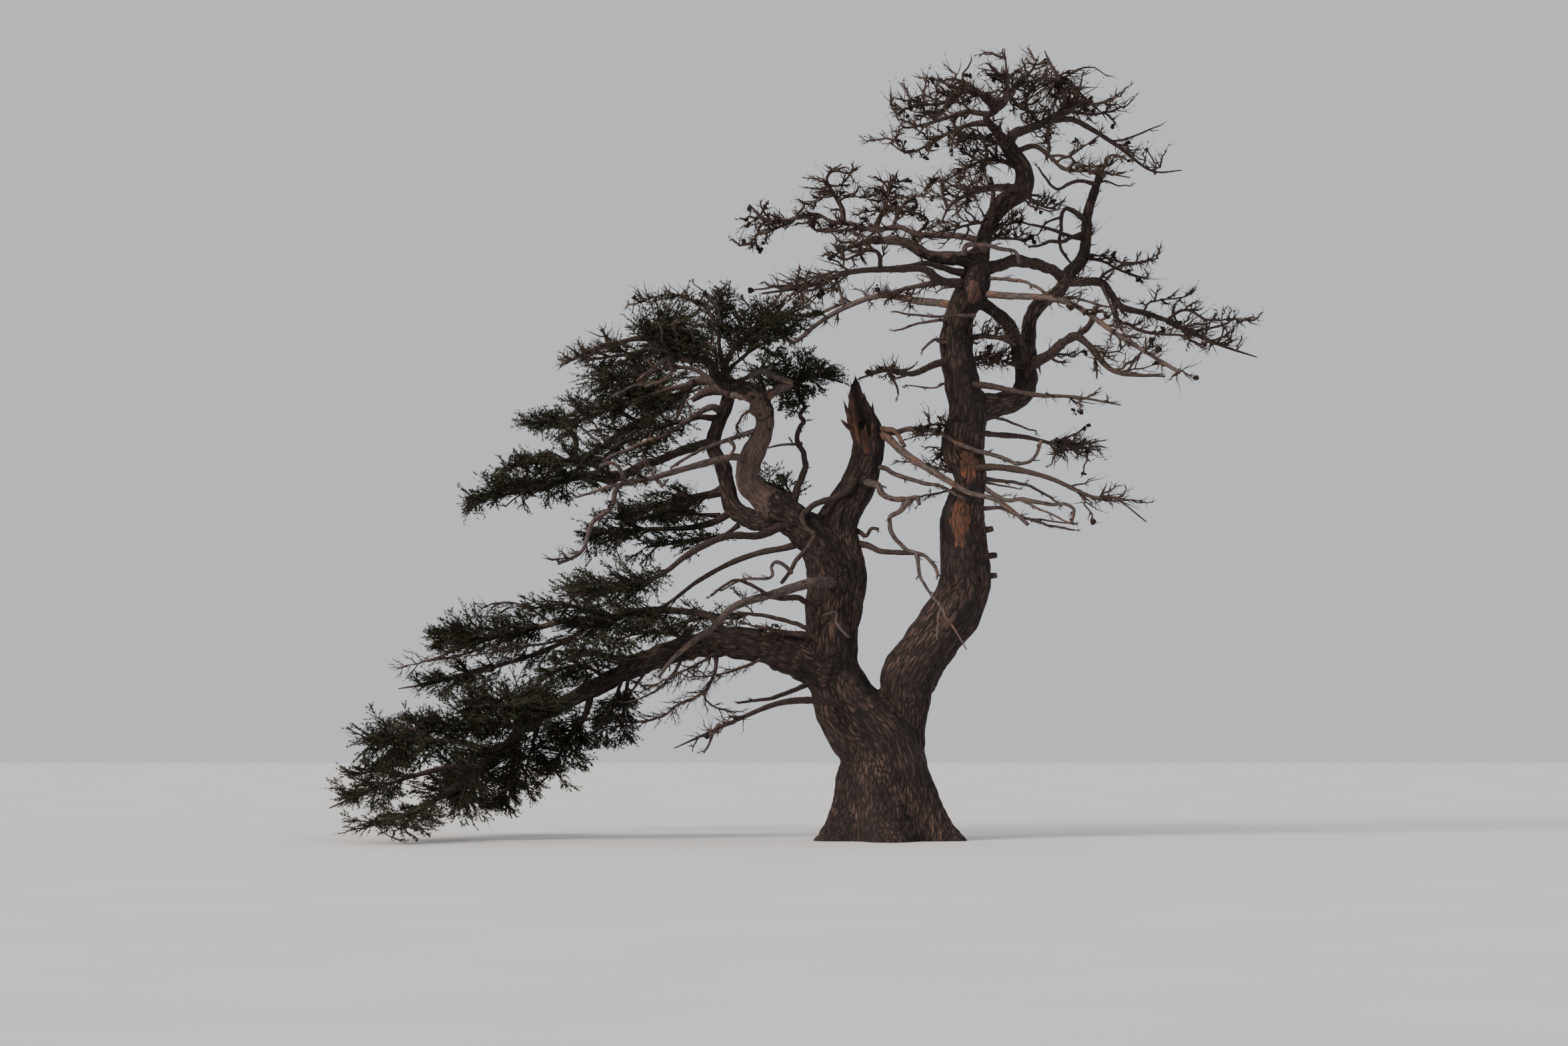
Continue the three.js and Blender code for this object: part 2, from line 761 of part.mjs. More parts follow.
// A blade lies along its axis from root to tip, in the plane that holds side. Its tines stand out in pairs,
// and each has its own line in the blade's plane.
class Blade {
  constructor(root, tip, kind, random) {
    this.root = root;
    this.kind = kind;
    this.length = root.distanceTo(tip);
    this.axis = tip.clone().sub(root).normalize();
    const level = new THREE.Vector3(this.axis.y, -this.axis.x, 0).normalize();
    this.side = level.applyAxisAngle(this.axis, kind.roll * (random() - 0.5));
    this.normal = this.axis.clone().cross(this.side);
    this.droop = kind.droop * (LEAST_DROOP + random());
    this.tines = [];
    const spacing = this.length / (kind.pairs + 1);
    for (const way of [1, -1]) {
      for (let i = 1; i <= kind.pairs; i += 1) {
        const share = i / (kind.pairs + 1);
        const length = SHORTEST_TINE + TINE_VARIATION * random();
        const reach = kind.reach * CM * (TINE_SHARE_AT_ROOT - share) * length;
        const lean = kind.lean + LEAN_VARIATION * (random() - 0.5);
        this.tines.push({ way, foot: share * this.length, half: spacing * kind.footShare, reach, lean });
      }
    }
  }

  // The point of the blade that lies along and across in its plane, off above it, bent down to its tip.
  at(along, across, off = 0) {
    const sink = this.droop * this.length * (along / this.length) ** 2;
    return this.root.clone()
      .addScaledVector(this.axis, along)
      .addScaledVector(this.side, across)
      .addScaledVector(this.normal, off)
      .add(new THREE.Vector3(0, 0, -sink));
  }

  tip(tine) {
    const along = tine.foot + tine.reach * Math.cos(tine.lean);
    return [along, tine.way * (tine.reach * Math.sin(tine.lean))];
  }

  // The lines that need room of their own: the axis, then each tine.
  course(from, to) {
    const middle = [(from[0] + to[0]) / 2, (from[1] + to[1]) / 2];
    const curve = new THREE.QuadraticBezierCurve3(this.at(...from), this.at(...middle), this.at(...to));
    return { curve, thicknessAt: () => this.kind.room };
  }

  axisCourse() {
    return this.course([0, 0], [this.length, 0]);
  }

  tineCourse(tine) {
    return this.course([tine.foot, 0], this.tip(tine));
  }

  // The outline from the root up one side to the tip and back down the other.
  outline() {
    const neck = (this.kind.neck / 2) * CM;
    const flank = (way) => {
      const points = [[0, way * neck]];
      for (const tine of this.tines.filter((each) => each.way === way)) {
        const width = way * neck * (1 - (BLADE_NARROWING * tine.foot) / this.length);
        points.push([tine.foot - tine.half, width], this.tip(tine), [tine.foot + tine.half, width]);
      }
      return points;
    };
    const points = [...flank(1), [this.length, 0], ...flank(-1).reverse()];
    return points.filter(([along, across], i) => {
      const next = points[(i + 1) % points.length];
      return Math.hypot(next[0] - along, next[1] - across) > SHORTEST_EDGE;
    });
  }

  solid() {
    const shape = new THREE.Shape(this.outline().map(([along, across]) => new THREE.Vector2(along, across)));
    const thickness = this.kind.thickness * CM;
    const slab = closed(new THREE.ExtrudeGeometry(shape, { depth: thickness, bevelEnabled: false }));
    const corners = slab.getAttribute("position");
    for (let i = 0; i < corners.count; i += 1) {
      const corner = this.at(corners.getX(i), corners.getY(i), corners.getZ(i) - thickness / 2);
      corners.setXYZ(i, corner.x, corner.y, corner.z);
    }
    return solidOf(slab);
  }
}

// One mass: a stem, and blades that reach from it for points spread over its space.
class Mass {
  constructor(spec, seed, kind) {
    this.spec = spec;
    this.kind = kind;
    this.random = seeded(seed);
    this.course = limbCourse(spec.stem, spec.thick ?? kind.thick, 1);
    this.middle = place(spec.middle);
    this.half = new THREE.Vector3(spec.half[0], spec.half[2] * DEPTH_SPREAD, spec.half[1]).multiplyScalar(CM);
    this.solids = [];
  }

  holds(point) {
    return point.clone().sub(this.middle).divide(this.half).length() <= SPACE_SLACK;
  }

  // A point well spread over the space: direction by the golden angle, most of the way out.
  target(index, count) {
    const height = 1 - (2 * (index + 0.5)) / count;
    const turn = index * Math.PI * (3 - Math.sqrt(5)) + this.random();
    const level = Math.sqrt(1 - height * height);
    const out = LEAST_REACH + REACH_VARIATION * this.random();
    return new THREE.Vector3(level * Math.cos(turn), level * Math.sin(turn), height)
      .multiplyScalar(out)
      .multiply(this.half)
      .add(this.middle);
  }

  // Where on the stem a blade for that target leaves: near it, but some way back along the stem.
  leaves(target) {
    let best = 0;
    let nearest = Infinity;
    for (let along = FIRST_BLADE; along <= LAST_BLADE; along += BLADE_SEARCH_STEP) {
      const distance = this.course.curve.getPointAt(along).distanceTo(target);
      if (distance < nearest) {
        nearest = distance;
        best = along;
      }
    }
    const setBack = LEAST_SET_BACK + SET_BACK_VARIATION * this.random();
    return Math.max(best - setBack, BARE_SHARE_OF_STEM);
  }

  // Adds a blade where its axis is clear, without the tines that aren't, and tells whether it did.
  addBlade(root, tip, taken) {
    const stem = this.spec.name;
    const owner = `${stem} blade ${this.solids.length}`;
    const blade = new Blade(root, tip, this.kind, this.random);
    if (!isClear(blade.axisCourse(), stem, taken)) return false;
    blade.tines = blade.tines.filter((tine) => {
      const course = blade.tineCourse(tine);
      return this.holds(course.curve.getPoint(1)) && isClear(course, stem, taken);
    });
    this.solids.push(blade.solid());
    taken.push(...roomAlong(blade.axisCourse(), owner));
    for (const tine of blade.tines) taken.push(...roomAlong(blade.tineCourse(tine), owner));
    return true;
  }

  grow(taken) {
    const count = Math.round(this.kind.blades * (this.spec.share ?? 1));
    for (let i = 0; i < count; i += 1) {
      for (let tries = 0; tries < BLADE_TRIES; tries += 1) {
        const target = this.target(i, count);
        if (this.addBlade(this.course.curve.getPointAt(this.leaves(target)), target, taken)) break;
      }
    }
  }
}

// The two kinds of mass: stem thickness, blades in a mass and pairs of tines on each, how far the tines
// reach and lean out, how wide their feet and the blade's neck are, the room that a line needs, how far the
// blades turn about their axes, and how far they droop.
const NEEDLE_KIND = {
  firstSeed: 11,
  thick: [9, 5],
  blades: 4,
  pairs: 3,
  reach: 44,
  lean: 0.85,
  footShare: 0.5,
  neck: 3,
  thickness: 3,
  room: 5,
  roll: 1.6,
  droop: 0.12,
};
const BARE_KIND = {
  firstSeed: 71,
  thick: [8, 4],
  blades: 3.4,
  pairs: 2,
  reach: 42,
  lean: 0.7,
  footShare: 0.07,
  neck: 2.4,
  thickness: 2.2,
  room: 3,
  roll: 6,
  droop: -0.08,
};

// Every solid that another one is cut clear of, grown by the gap.
const grownSolids = new Map();
const taken = [];
const tree = new THREE.Group();

function material(name, colour, roughness) {
  return new THREE.MeshStandardMaterial({ name, color: colour, roughness, metalness: 0, flatShading: true });
}
const barkMaterial = material("bark", COLOURS.bark, 0.95);
const deadWoodMaterial = material("dead_wood", COLOURS.deadWood, 0.85);
const needleMaterial = material("needles", COLOURS.needles, 0.8);
const bareTwigMaterial = material("bare_twigs", COLOURS.bareTwigs, 0.9);

// A solid as a named mesh that stands at its own root.
function addMesh(group, name, solid, root, look) {
  const { numProp, vertProperties, triVerts } = solid.getMesh();
  const corners = new Float32Array((vertProperties.length / numProp) * 3);
  for (let i = 0; i < corners.length / 3; i += 1) {
    corners.set(vertProperties.subarray(i * numProp, i * numProp + 3), i * 3);
  }
  const geometry = new THREE.BufferGeometry();
  geometry.setAttribute("position", new THREE.BufferAttribute(corners, 3));
  geometry.setIndex(new THREE.BufferAttribute(triVerts, 1));
  geometry.translate(-root.x, -root.y, -root.z);
  const mesh = new THREE.Mesh(geometry, look);
  mesh.name = name;
  mesh.position.copy(root);
  group.add(mesh);
}

function cutClear(solid, names) {
  return largestBody(names.reduce((rest, name) => rest.subtract(grownSolids.get(name)), solid));
}

function trunks() {
  const group = new THREE.Group();
  grownSolids.set("west_trunk", westTrunk(SEAT_GAP));
  grownSolids.set("east_trunk", eastTrunk(SEAT_GAP));
  addMesh(group, "west_trunk", westTrunk(0), new THREE.Vector3(), barkMaterial);
  const eastRoot = place(EAST_TRUNK[0]);
  addMesh(group, "east_trunk", eastTrunk(0, grownSolids.get("west_trunk")), eastRoot, barkMaterial);
  for (const [name, wayPoints] of [["west_trunk", WEST_TRUNK], ["east_trunk", EAST_TRUNK]]) {
    const curve = new THREE.CatmullRomCurve3(wayPoints.map(place));
    const thicknessAt = (along) =>
      trunkThickness(wayPoints, curve.getUtoTmapping(along)) * (1 + RIDGE + FLARE * FLARE_ROOM);
    taken.push(...roomAlong({ curve, thicknessAt }, name));
  }
  return group;
}

function boughs(specs) {
  const group = new THREE.Group();
  for (const spec of specs) {
    const course = limbCourse(spec.through, spec.thick, spec.taper);
    const sides = spec.thick[0] > THICK_BOUGH ? THICK_BOUGH_SIDES : BOUGH_SIDES;
    const radiusAt = (along) => (course.thicknessAt(along) / 2) * CM;
    const tube = (grown) => bentTube(course.curve, { sides, steps: spec.steps, grown, radiusAt });
    grownSolids.set(spec.name, tube(SEAT_GAP));
    const look = spec.dead ? deadWoodMaterial : barkMaterial;
    addMesh(group, spec.name, cutClear(tube(0), spec.from), place(spec.through[0]), look);
    taken.push(...roomAlong(course, spec.name));
  }
  return group;
}

// A stem that carries on from the tip of a bough starts one gap beyond it.
function startBeyondTip(course, boughName) {
  const bough = [...WEST_BOUGHS, ...EAST_BOUGHS].find((spec) => spec.name === boughName);
  const tipCourse = limbCourse(bough.through, bough.thick, bough.taper);
  const start = course.curve.points[0];
  start.addScaledVector(tipCourse.curve.getTangentAt(1), SEAT_GAP);
}

function masses(specs, kind, look) {
  const group = new THREE.Group();
  const grown = specs.map((spec, index) => new Mass(spec, kind.firstSeed + index, kind));
  for (const mass of grown) taken.push(...roomAlong(mass.course, mass.spec.name));
  for (const mass of grown) {
    if (mass.spec.onTip) startBeyondTip(mass.course, mass.spec.from[0]);
    mass.grow(taken);
    const steps = Math.round(mass.spec.stem.length * STEM_STEPS_PER_WAY_POINT);
    const radiusAt = (along) => (mass.course.thicknessAt(along) / 2) * CM;
    const stem = bentTube(mass.course.curve, { sides: STEM_SIDES, steps, pointed: true, radiusAt });
    const whole = mass.solids.reduce((sum, solid) => sum.add(solid), stem);
    addMesh(group, mass.spec.name, cutClear(whole, mass.spec.from), place(mass.spec.stem[0]), look);
  }
  return group;
}

tree.add(trunks());
tree.add(boughs(WEST_BOUGHS));
tree.add(boughs(EAST_BOUGHS));
tree.add(masses(NEEDLE_MASSES, NEEDLE_KIND, needleMaterial));
tree.add(masses(BARE_MASSES, BARE_KIND, bareTwigMaterial));

export default tree;
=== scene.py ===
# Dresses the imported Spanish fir: furrowed bark, stripped grey limbs, fine twigs, needles and cone remains,
# grown on from the limbs of the frame. Everything is in metres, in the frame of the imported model.
import itertools
import json
import math

import bpy
import numpy as np
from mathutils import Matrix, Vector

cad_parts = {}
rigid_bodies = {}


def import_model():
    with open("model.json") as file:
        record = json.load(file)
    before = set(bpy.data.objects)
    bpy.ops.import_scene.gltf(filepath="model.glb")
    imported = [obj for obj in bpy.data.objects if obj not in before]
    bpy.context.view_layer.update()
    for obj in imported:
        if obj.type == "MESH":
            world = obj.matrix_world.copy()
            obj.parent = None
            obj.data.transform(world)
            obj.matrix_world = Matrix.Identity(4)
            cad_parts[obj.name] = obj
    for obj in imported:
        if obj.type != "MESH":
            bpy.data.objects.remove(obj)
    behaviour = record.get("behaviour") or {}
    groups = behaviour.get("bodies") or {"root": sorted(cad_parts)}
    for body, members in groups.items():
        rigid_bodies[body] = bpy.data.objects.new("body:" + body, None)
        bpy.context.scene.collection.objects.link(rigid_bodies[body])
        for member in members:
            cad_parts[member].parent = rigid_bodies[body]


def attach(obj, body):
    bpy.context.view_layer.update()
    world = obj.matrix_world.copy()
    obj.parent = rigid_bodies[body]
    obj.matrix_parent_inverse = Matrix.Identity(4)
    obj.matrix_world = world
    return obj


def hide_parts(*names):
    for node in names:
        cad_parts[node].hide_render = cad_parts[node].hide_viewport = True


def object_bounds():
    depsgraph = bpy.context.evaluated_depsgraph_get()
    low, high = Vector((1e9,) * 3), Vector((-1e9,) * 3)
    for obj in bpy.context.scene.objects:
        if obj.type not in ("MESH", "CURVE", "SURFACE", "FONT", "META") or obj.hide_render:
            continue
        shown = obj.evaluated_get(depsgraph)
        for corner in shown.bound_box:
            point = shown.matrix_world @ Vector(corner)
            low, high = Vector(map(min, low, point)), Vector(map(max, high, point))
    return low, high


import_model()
cad_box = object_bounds()

# The tree is described as it is seen from one standpoint in front of it. A point is (across, up, depth) in
# centimetres: across and up are read on the upright plane through both trunks, and depth says how far
# behind that plane (+) or before it (-) the point really lies.
STANDPOINT_ACROSS = -154.5
STANDPOINT_UP = 150
STANDPOINT_DISTANCE = 4500
DEPTH_SPREAD = 1.35
CM = 0.01

# Camera, with its eye at the standpoint: how far it looks up in degrees, its lens and how far it sees.
LOOK_UP = 4.08
LENS = 69.4
SENSOR = 36.0
FARTHEST_SEEN = 500

# Half the width of the floor, the pale surround, and a soft key light with its angles in degrees.
FLOOR_HALF = 140.0
SURROUND = (0.86, 0.88, 0.92)
SURROUND_STRENGTH = 0.75
KEY_COLOUR = (1.0, 0.90, 0.80)
KEY_STRENGTH = 3.8
KEY_WIDTH = 24
KEY_TILT = 62
KEY_TURN = -52

# Base colours. Those in pairs are the darkest and the lightest that a surface wanders between.
DARK_BARK = (0.015, 0.011, 0.011)
MIDDLE_BARK = (0.060, 0.039, 0.033)
TAN_BARK = (0.150, 0.088, 0.064)
ORANGE_WOOD = (0.340, 0.108, 0.038)
RUSTY_WOOD = (0.110, 0.050, 0.030)
GREY_WOOD = (0.100, 0.076, 0.070)
PALE_WOOD = (0.205, 0.145, 0.122)
# Warm wood: partly the wood's own tone and partly painted warm highlight of low light, laid on in patches.
WARM_WOOD_AND_HIGHLIGHT = (0.215, 0.112, 0.072)
DARK_WOOD = (0.036, 0.026, 0.025)
# Painted shade: near black for the inside of the hollow in the broken top.
HOLLOW_PAINTED_SHADE = (0.012, 0.008, 0.007)
BLACK = (0, 0, 0)
WHITE = (1, 1, 1)
SPLINTERED_WOOD = (DARK_WOOD, (0.15, 0.068, 0.042))
BARE_TWIGS = ((0.028, 0.019, 0.016), (0.085, 0.058, 0.046))
LEAFY_TWIGS = ((0.030, 0.022, 0.018), (0.080, 0.056, 0.044))
CONE_REMAINS = ((0.010, 0.007, 0.006), (0.030, 0.019, 0.014))
PALE_FLOOR = ((0.70, 0.69, 0.68), (0.74, 0.73, 0.72))
NEEDLES = {
    "needles_dark": ((0.010, 0.014, 0.007), (0.024, 0.030, 0.013)),
    "needles_olive": ((0.018, 0.022, 0.009), (0.040, 0.044, 0.018)),
    "needles_brown": ((0.026, 0.019, 0.011), (0.056, 0.040, 0.022)),
}
SPECULAR = 0.25

# Seeds, so that every run grows the same tree. A limb's place in its list is added to the seed of its kind.
EDGE_SEED = 5
CONE_SEED = 8
SPLINTER_SEED = 9
FURROW_SEED = 11
LUMP_SEED = 13
RIM_SEED = 21
LESSER_SEED = 40
STEM_SEED = 70
MASS_SEED = 100
SPRAY_SEED = 500

# Whole numbers that scramble the place of a cell into an even spread of values.
CELL_SCRAMBLE = (73856093, 19349663, 83492791)
SEED_SCRAMBLE = 2654435
LAST_SCRAMBLE = 1274126177
LOW_31_BITS = 0x7FFFFFFF
LOW_16_BITS = 0xFFFF

# How steeply a crease rises, the least length that is divided by, and a distance beyond any in the tree.
CREASE_STEEPNESS = 2.4
TINY = 1e-9
FAR_OFF = 1e9

# Centre lines: points between two way-points, fewest stretches in a limb, spacing along thin limbs, and how
# far apart the grain of one limb lies from that of the next.
CURVE_STEPS = 24
LEAST_STRETCHES = 3
LIMB_SPACING = 0.034
GRAIN_APART = 5

# Trunks: sides, spacing along them, lobes round them, how deep these are and the height in which they turn
# by one radian. Towards the foot the trunk flares and its lobes deepen, each over a height of its own.
TRUNK_SIDES = 96
TRUNK_SPACING = 0.03
TRUNK_LOBES = {"west_trunk": 5, "east_trunk": 4}
LOBE_DEPTH = 0.07
LOBE_TURN = 0.6
FLARE = 0.42
FLARE_HEIGHT = 0.55
FOOT_LOBES = 1.2
FOOT_LOBES_HEIGHT = 0.35

# The broken rim of the west trunk: its lowest height, the height over which the wall thins, and the share
# of the radius that is left above it. For each tongue of wood its bearing and half width in degrees,
# counted from the front by the right, and how far it stands above the lowest point of the rim.
RIM_HEIGHT = 6.04
RIM_THINNING = 0.10
RIM_LEFT = 0.10
TONGUES = [(97, 42, 0.46), (186, 74, 0.92), (262, 30, 0.46)]

# Layers of unevenness, each with its depth and the size of its bumps: on the rim, along every limb, on the
# edge of stripped patches and of masses, and the lumps and furrows of the bark. The depths of the last two
# are shares of LUMP_DEPTH and FURROW_DEPTH.
RIM_UNEVEN = [(0.26, 0.28)]
KNOTS = [(0.20, 0.22), (0.22, 0.07)]
EDGE_UNEVEN = [(0.5, 0.11), (0.5, 0.05)]
MASS_UNEVEN = [(0.65, 0.26)]
LUMPS = [(1.4, 0.34), (0.8, 0.15)]
FURROWS = [(0.65, 0.11), (0.35, 0.06)]

# Bark: how deep its furrows and lumps are, how much longer than wide, the level that they are cut from, the
# radius from which a limb has them in full, the least share on thin limbs, and how smooth bare wood is and
# how soon it is so.
FURROW_DEPTH = 0.026
LUMP_DEPTH = 0.03
FURROW_STRETCH = 3.6
FURROW_LEVEL = 0.6
FULL_RELIEF_RADIUS = 0.28
LEAST_RELIEF = 0.25
BARE_SMOOTHNESS = 0.85
BARE_FADE = 1.6

# The skin of the trunks and thick boughs is fused at this grain, filleted at its joints and smoothed, most
# of all near a joint. Limbs that are THICK_LIMB centimetres thick at the root or more are part of it.
SKIN_GRAIN = 0.030
THICK_LIMB = 20
BOUGH_SIDES = 40
JOINT_FILLET = 0.09
SMOOTHING = 0.12
JOINT_SMOOTHING = 0.5
SMOOTHING_ROUNDS = 12

# Thinner limbs: sides, and the collar at the root, with how much thicker they are there and the radii and
# fixed length over which it fades.
# Lesser limbs wander by CROOKEDNESS, in full from CROOK_ONSET of their length on, with so many bends to a
# metre; the three directions take their noise from places that are CROOK_APART.
THIN_BOUGH_SIDES = 10
LESSER_SIDES = 7
STEM_SIDES = 8
COLLAR = 0.35
COLLAR_RADII = 2.0
COLLAR_LENGTH = 0.02
CROOKEDNESS = 0.012
CROOKS_PER_METRE = 9
CROOK_APART = 31
CROOK_ONSET = 0.25

# Stripped patches: how their edge falls off, how far the warm colour reaches, and the plane that they lie
# in front of.
PATCH_FULL = 1.6
PATCH_FALL = 1.2
WARM_REACH = 1.7
PATCH_FRONT = 0.05

# The hollow in the broken top, painted in near-black shade: its middle line as (up, across), then its foot,
# the height over which the painted shade deepens, its half width, how its edge falls off, its limit on the
# right and the plane that it lies in front of. All are in centimetres but the last, which is in metres, and
# the edge, which is a share.
HOLLOW_LINE = [(600, -28), (637, -40), (675, -50)]
HOLLOW_FOOT = 598
HOLLOW_DEEPENING = 14
HOLLOW_HALF = 10
HOLLOW_EDGE = 1.3
HOLLOW_RIGHT = 5
HOLLOW_FRONT = 0.02

# Room: how far twigs may pass the model's box, how high they stay above the ground, and how far they keep
# from limbs: tips of branchlets, the points before those, and other twigs. Limbs count as rows of balls,
# and the points are tested in batches.
BOX_ROOM = 0.05
GROUND_ROOM = 0.03
TIP_ROOM = 0.01
BACK_ROOM = 0.005
TWIG_ROOM = 0.004
BALL_SPACING = 0.05
POINTS_AT_ONCE = 4000

# Masses: how far past its half sizes each kind reaches, how far out the targets lie, and the level layers
# that they gather in: the height between two, how much this wanders, and how far the targets are drawn.
MASS_SLACK = {"needles": 1.22, "bare": 1.12}
OUTWARD = (0.30, 1.05)
OUTWARD_POWER = 0.6
LAYER_HEIGHT = 0.34
LAYER_WANDER = 0.4
LAYER_PULL = 0.55

# Branchlets leave the stem some way back from the point that is nearest to their target. That point isn't
# sought in the first part, STEM_BARE, which counts as BARE_PENALTY metres farther off, and none leaves
# before STEM_FIRST. They lead along the stem, more so when the target lies ahead, and bow over to the
# target, with small kinks.
STEM_BARE = 0.2
STEM_FIRST = 0.15
BARE_PENALTY = 9
SET_BACK = (0.02, 0.16)
LEAD = 0.12
LEAD_AHEAD = 0.34
LEAD_LEAST = 0.04
LEAD_OVER = 0.30
BOW_KINK = 0.8
BOW_LEAST_KINK = 0.004

# Twigs on a parent: the part of it that they stand on, how they differ in place (a share of its length), in
# turn and lean (radians), in length, in how far they bend forward (a share of their length), and in
# thickness. Kinks are LEAST_KINK metres or more and add up towards the tip, at KINK_SHARE of their size.
# NUDGE gives an upright twig a sideways direction. A tube that rises by more than STEEP of its length takes
# its sides from another direction.
TWIG_ENDS = (0.15, 0.98)
SHARE_LIMITS = (0.02, 0.99)
PLACE_WANDER = 0.04
ROW_TURN = 0.5
LEAN_WANDER = 0.25
LENGTH_AT_ROOT = 1.15
LENGTHS = (0.6, 1.15)
FORWARD = 0.22
STOUTNESS = (0.75, 1.3)
LEAST_KINK = 0.003
KINK_SHARE = 0.8
NUDGE = 1e-6
STEEP = 0.8

# Branchlets that stand right on a limb: spacing along the limb, lean, last place, extra rise, turn, how
# much shorter they grow towards its tip, and the fewest on a limb.
SPRAY_SPACING = 0.06
SPRAY_LEAN = 0.9
SPRAY_LAST = 0.99
SPRAY_RISE = 0.08
SPRAY_TURN = 0.9
SPRAY_WANE = 0.4
FEWEST_BRANCHLETS = 2

# Needles on branchlets, side twigs and spurs: how many to a metre and from what share of the twig on. Then
# the share of side twigs that is withered, the size of a needle with its spread, its lean and twist, the
# fewest on a twig, and the share of the twigs that takes each colour.
NEEDLES_PER_METRE = (50, 88, 100)
NEEDLES_FROM = (0.5, 0.15, 0.0)
WITHERED = 0.14
NEEDLE_LENGTH = 0.040
NEEDLE_LENGTHS = (0.75, 1.20)
NEEDLE_WIDTH = 0.0155
NEEDLE_WIDTHS = (0.8, 1.2)
NEEDLE_LEAN = (0.45, 1.05)
NEEDLE_TWIST = 0.5
FEWEST_NEEDLES = 3
NEEDLE_SHARES = (0.5, 0.33, 0.17)

# Cone remains: the odds that a branchlet or side twig bears a cluster, on one of its last points, how many
# are in it and how far apart. The profile is (radius, height) for each ring of scales.
CONE_ODDS = (0.15, 0.009)
CONE_POINTS = 3
CLUSTER = 3
CLUSTER_SPREAD = 0.022
CONE_SIDES = 6
CONE_PROFILE = [(0.25, -1.0), (0.95, -0.3), (0.75, 0.55), (0.12, 1.25)]
CONE_TWIST = 0.45
CONE_SIZES = (0.018, 0.042)
CONE_RAGGED = (0.62, 1.35)
CONE_RISE = 0.8

# Splinters: sides, points along each, kink, radius before it tapers, how it tapers, the share of it at the
# foot, the radius left at the tip, and how they differ in thickness.
SPLINTER_SIDES = 4
SPLINTER_POINTS = 6
SPLINTER_KINK = 0.009
SPLINTER_RADIUS = 0.088
SPLINTER_TAPER = 0.8
SPLINTER_FOOT = 0.35
SPLINTER_TIP = 0.002
SPLINTER_STOUTNESS = (0.75, 1.2)

# Long lists of triangles are cut into pieces of no more than this.
MOST_TRIANGLES = 190000

# A mix node lists its sockets for colours after those for other kinds of value.
MIX_COLOURS = (6, 7)
MIX_RESULT = 2

# How the sprays of each kind grow, order by order: branchlets to each square metre of a mass as it is seen,
# crookedness, rise, thickness of each order at its root and tip, points along each order, corners round it.
# Then for side twigs and spurs how many stand on each parent, how long they are (a fixed part and a share
# of the parent's length), how far they lean out and how much they turn.
ORDERS = ("branchlets", "sides", "spurs")
GROWTH = {
    "needles": {
        "branchlets": 34, "kink": 0.022, "lift": -0.02,
        "thick": [(0.026, 0.010), (0.014, 0.006), (0.010, 0.004)],
        "points": (6, 3, 2), "corners": (4, 3, 3),
        "sides": (7, 0.20, 0.38, 0.80, 0.50),
        "spurs": (3, 0.11, 0.38, 0.72, 0.50),
    },
    "bare": {
        "branchlets": 24, "kink": 0.074, "lift": 0.12,
        "thick": [(0.042, 0.018), (0.022, 0.009), (0.013, 0.006)],
        "points": (7, 4, 2), "corners": (5, 3, 3),
        "sides": (6, 0.16, 0.40, 0.85, 1.0),
        "spurs": (2, 0.08, 0.46, 0.90, 1.2),
    },
    "fine": {
        "branchlets": 20, "kink": 0.035, "lift": -0.05,
        "thick": [(0.018, 0.008), (0.011, 0.005), (0.008, 0.004)],
        "points": (6, 4, 2), "corners": (4, 3, 3),
        "sides": (6, 0.06, 0.32, 0.70, 0.8),
        "spurs": (2, 0.03, 0.40, 0.75, 1.0),
    },
}

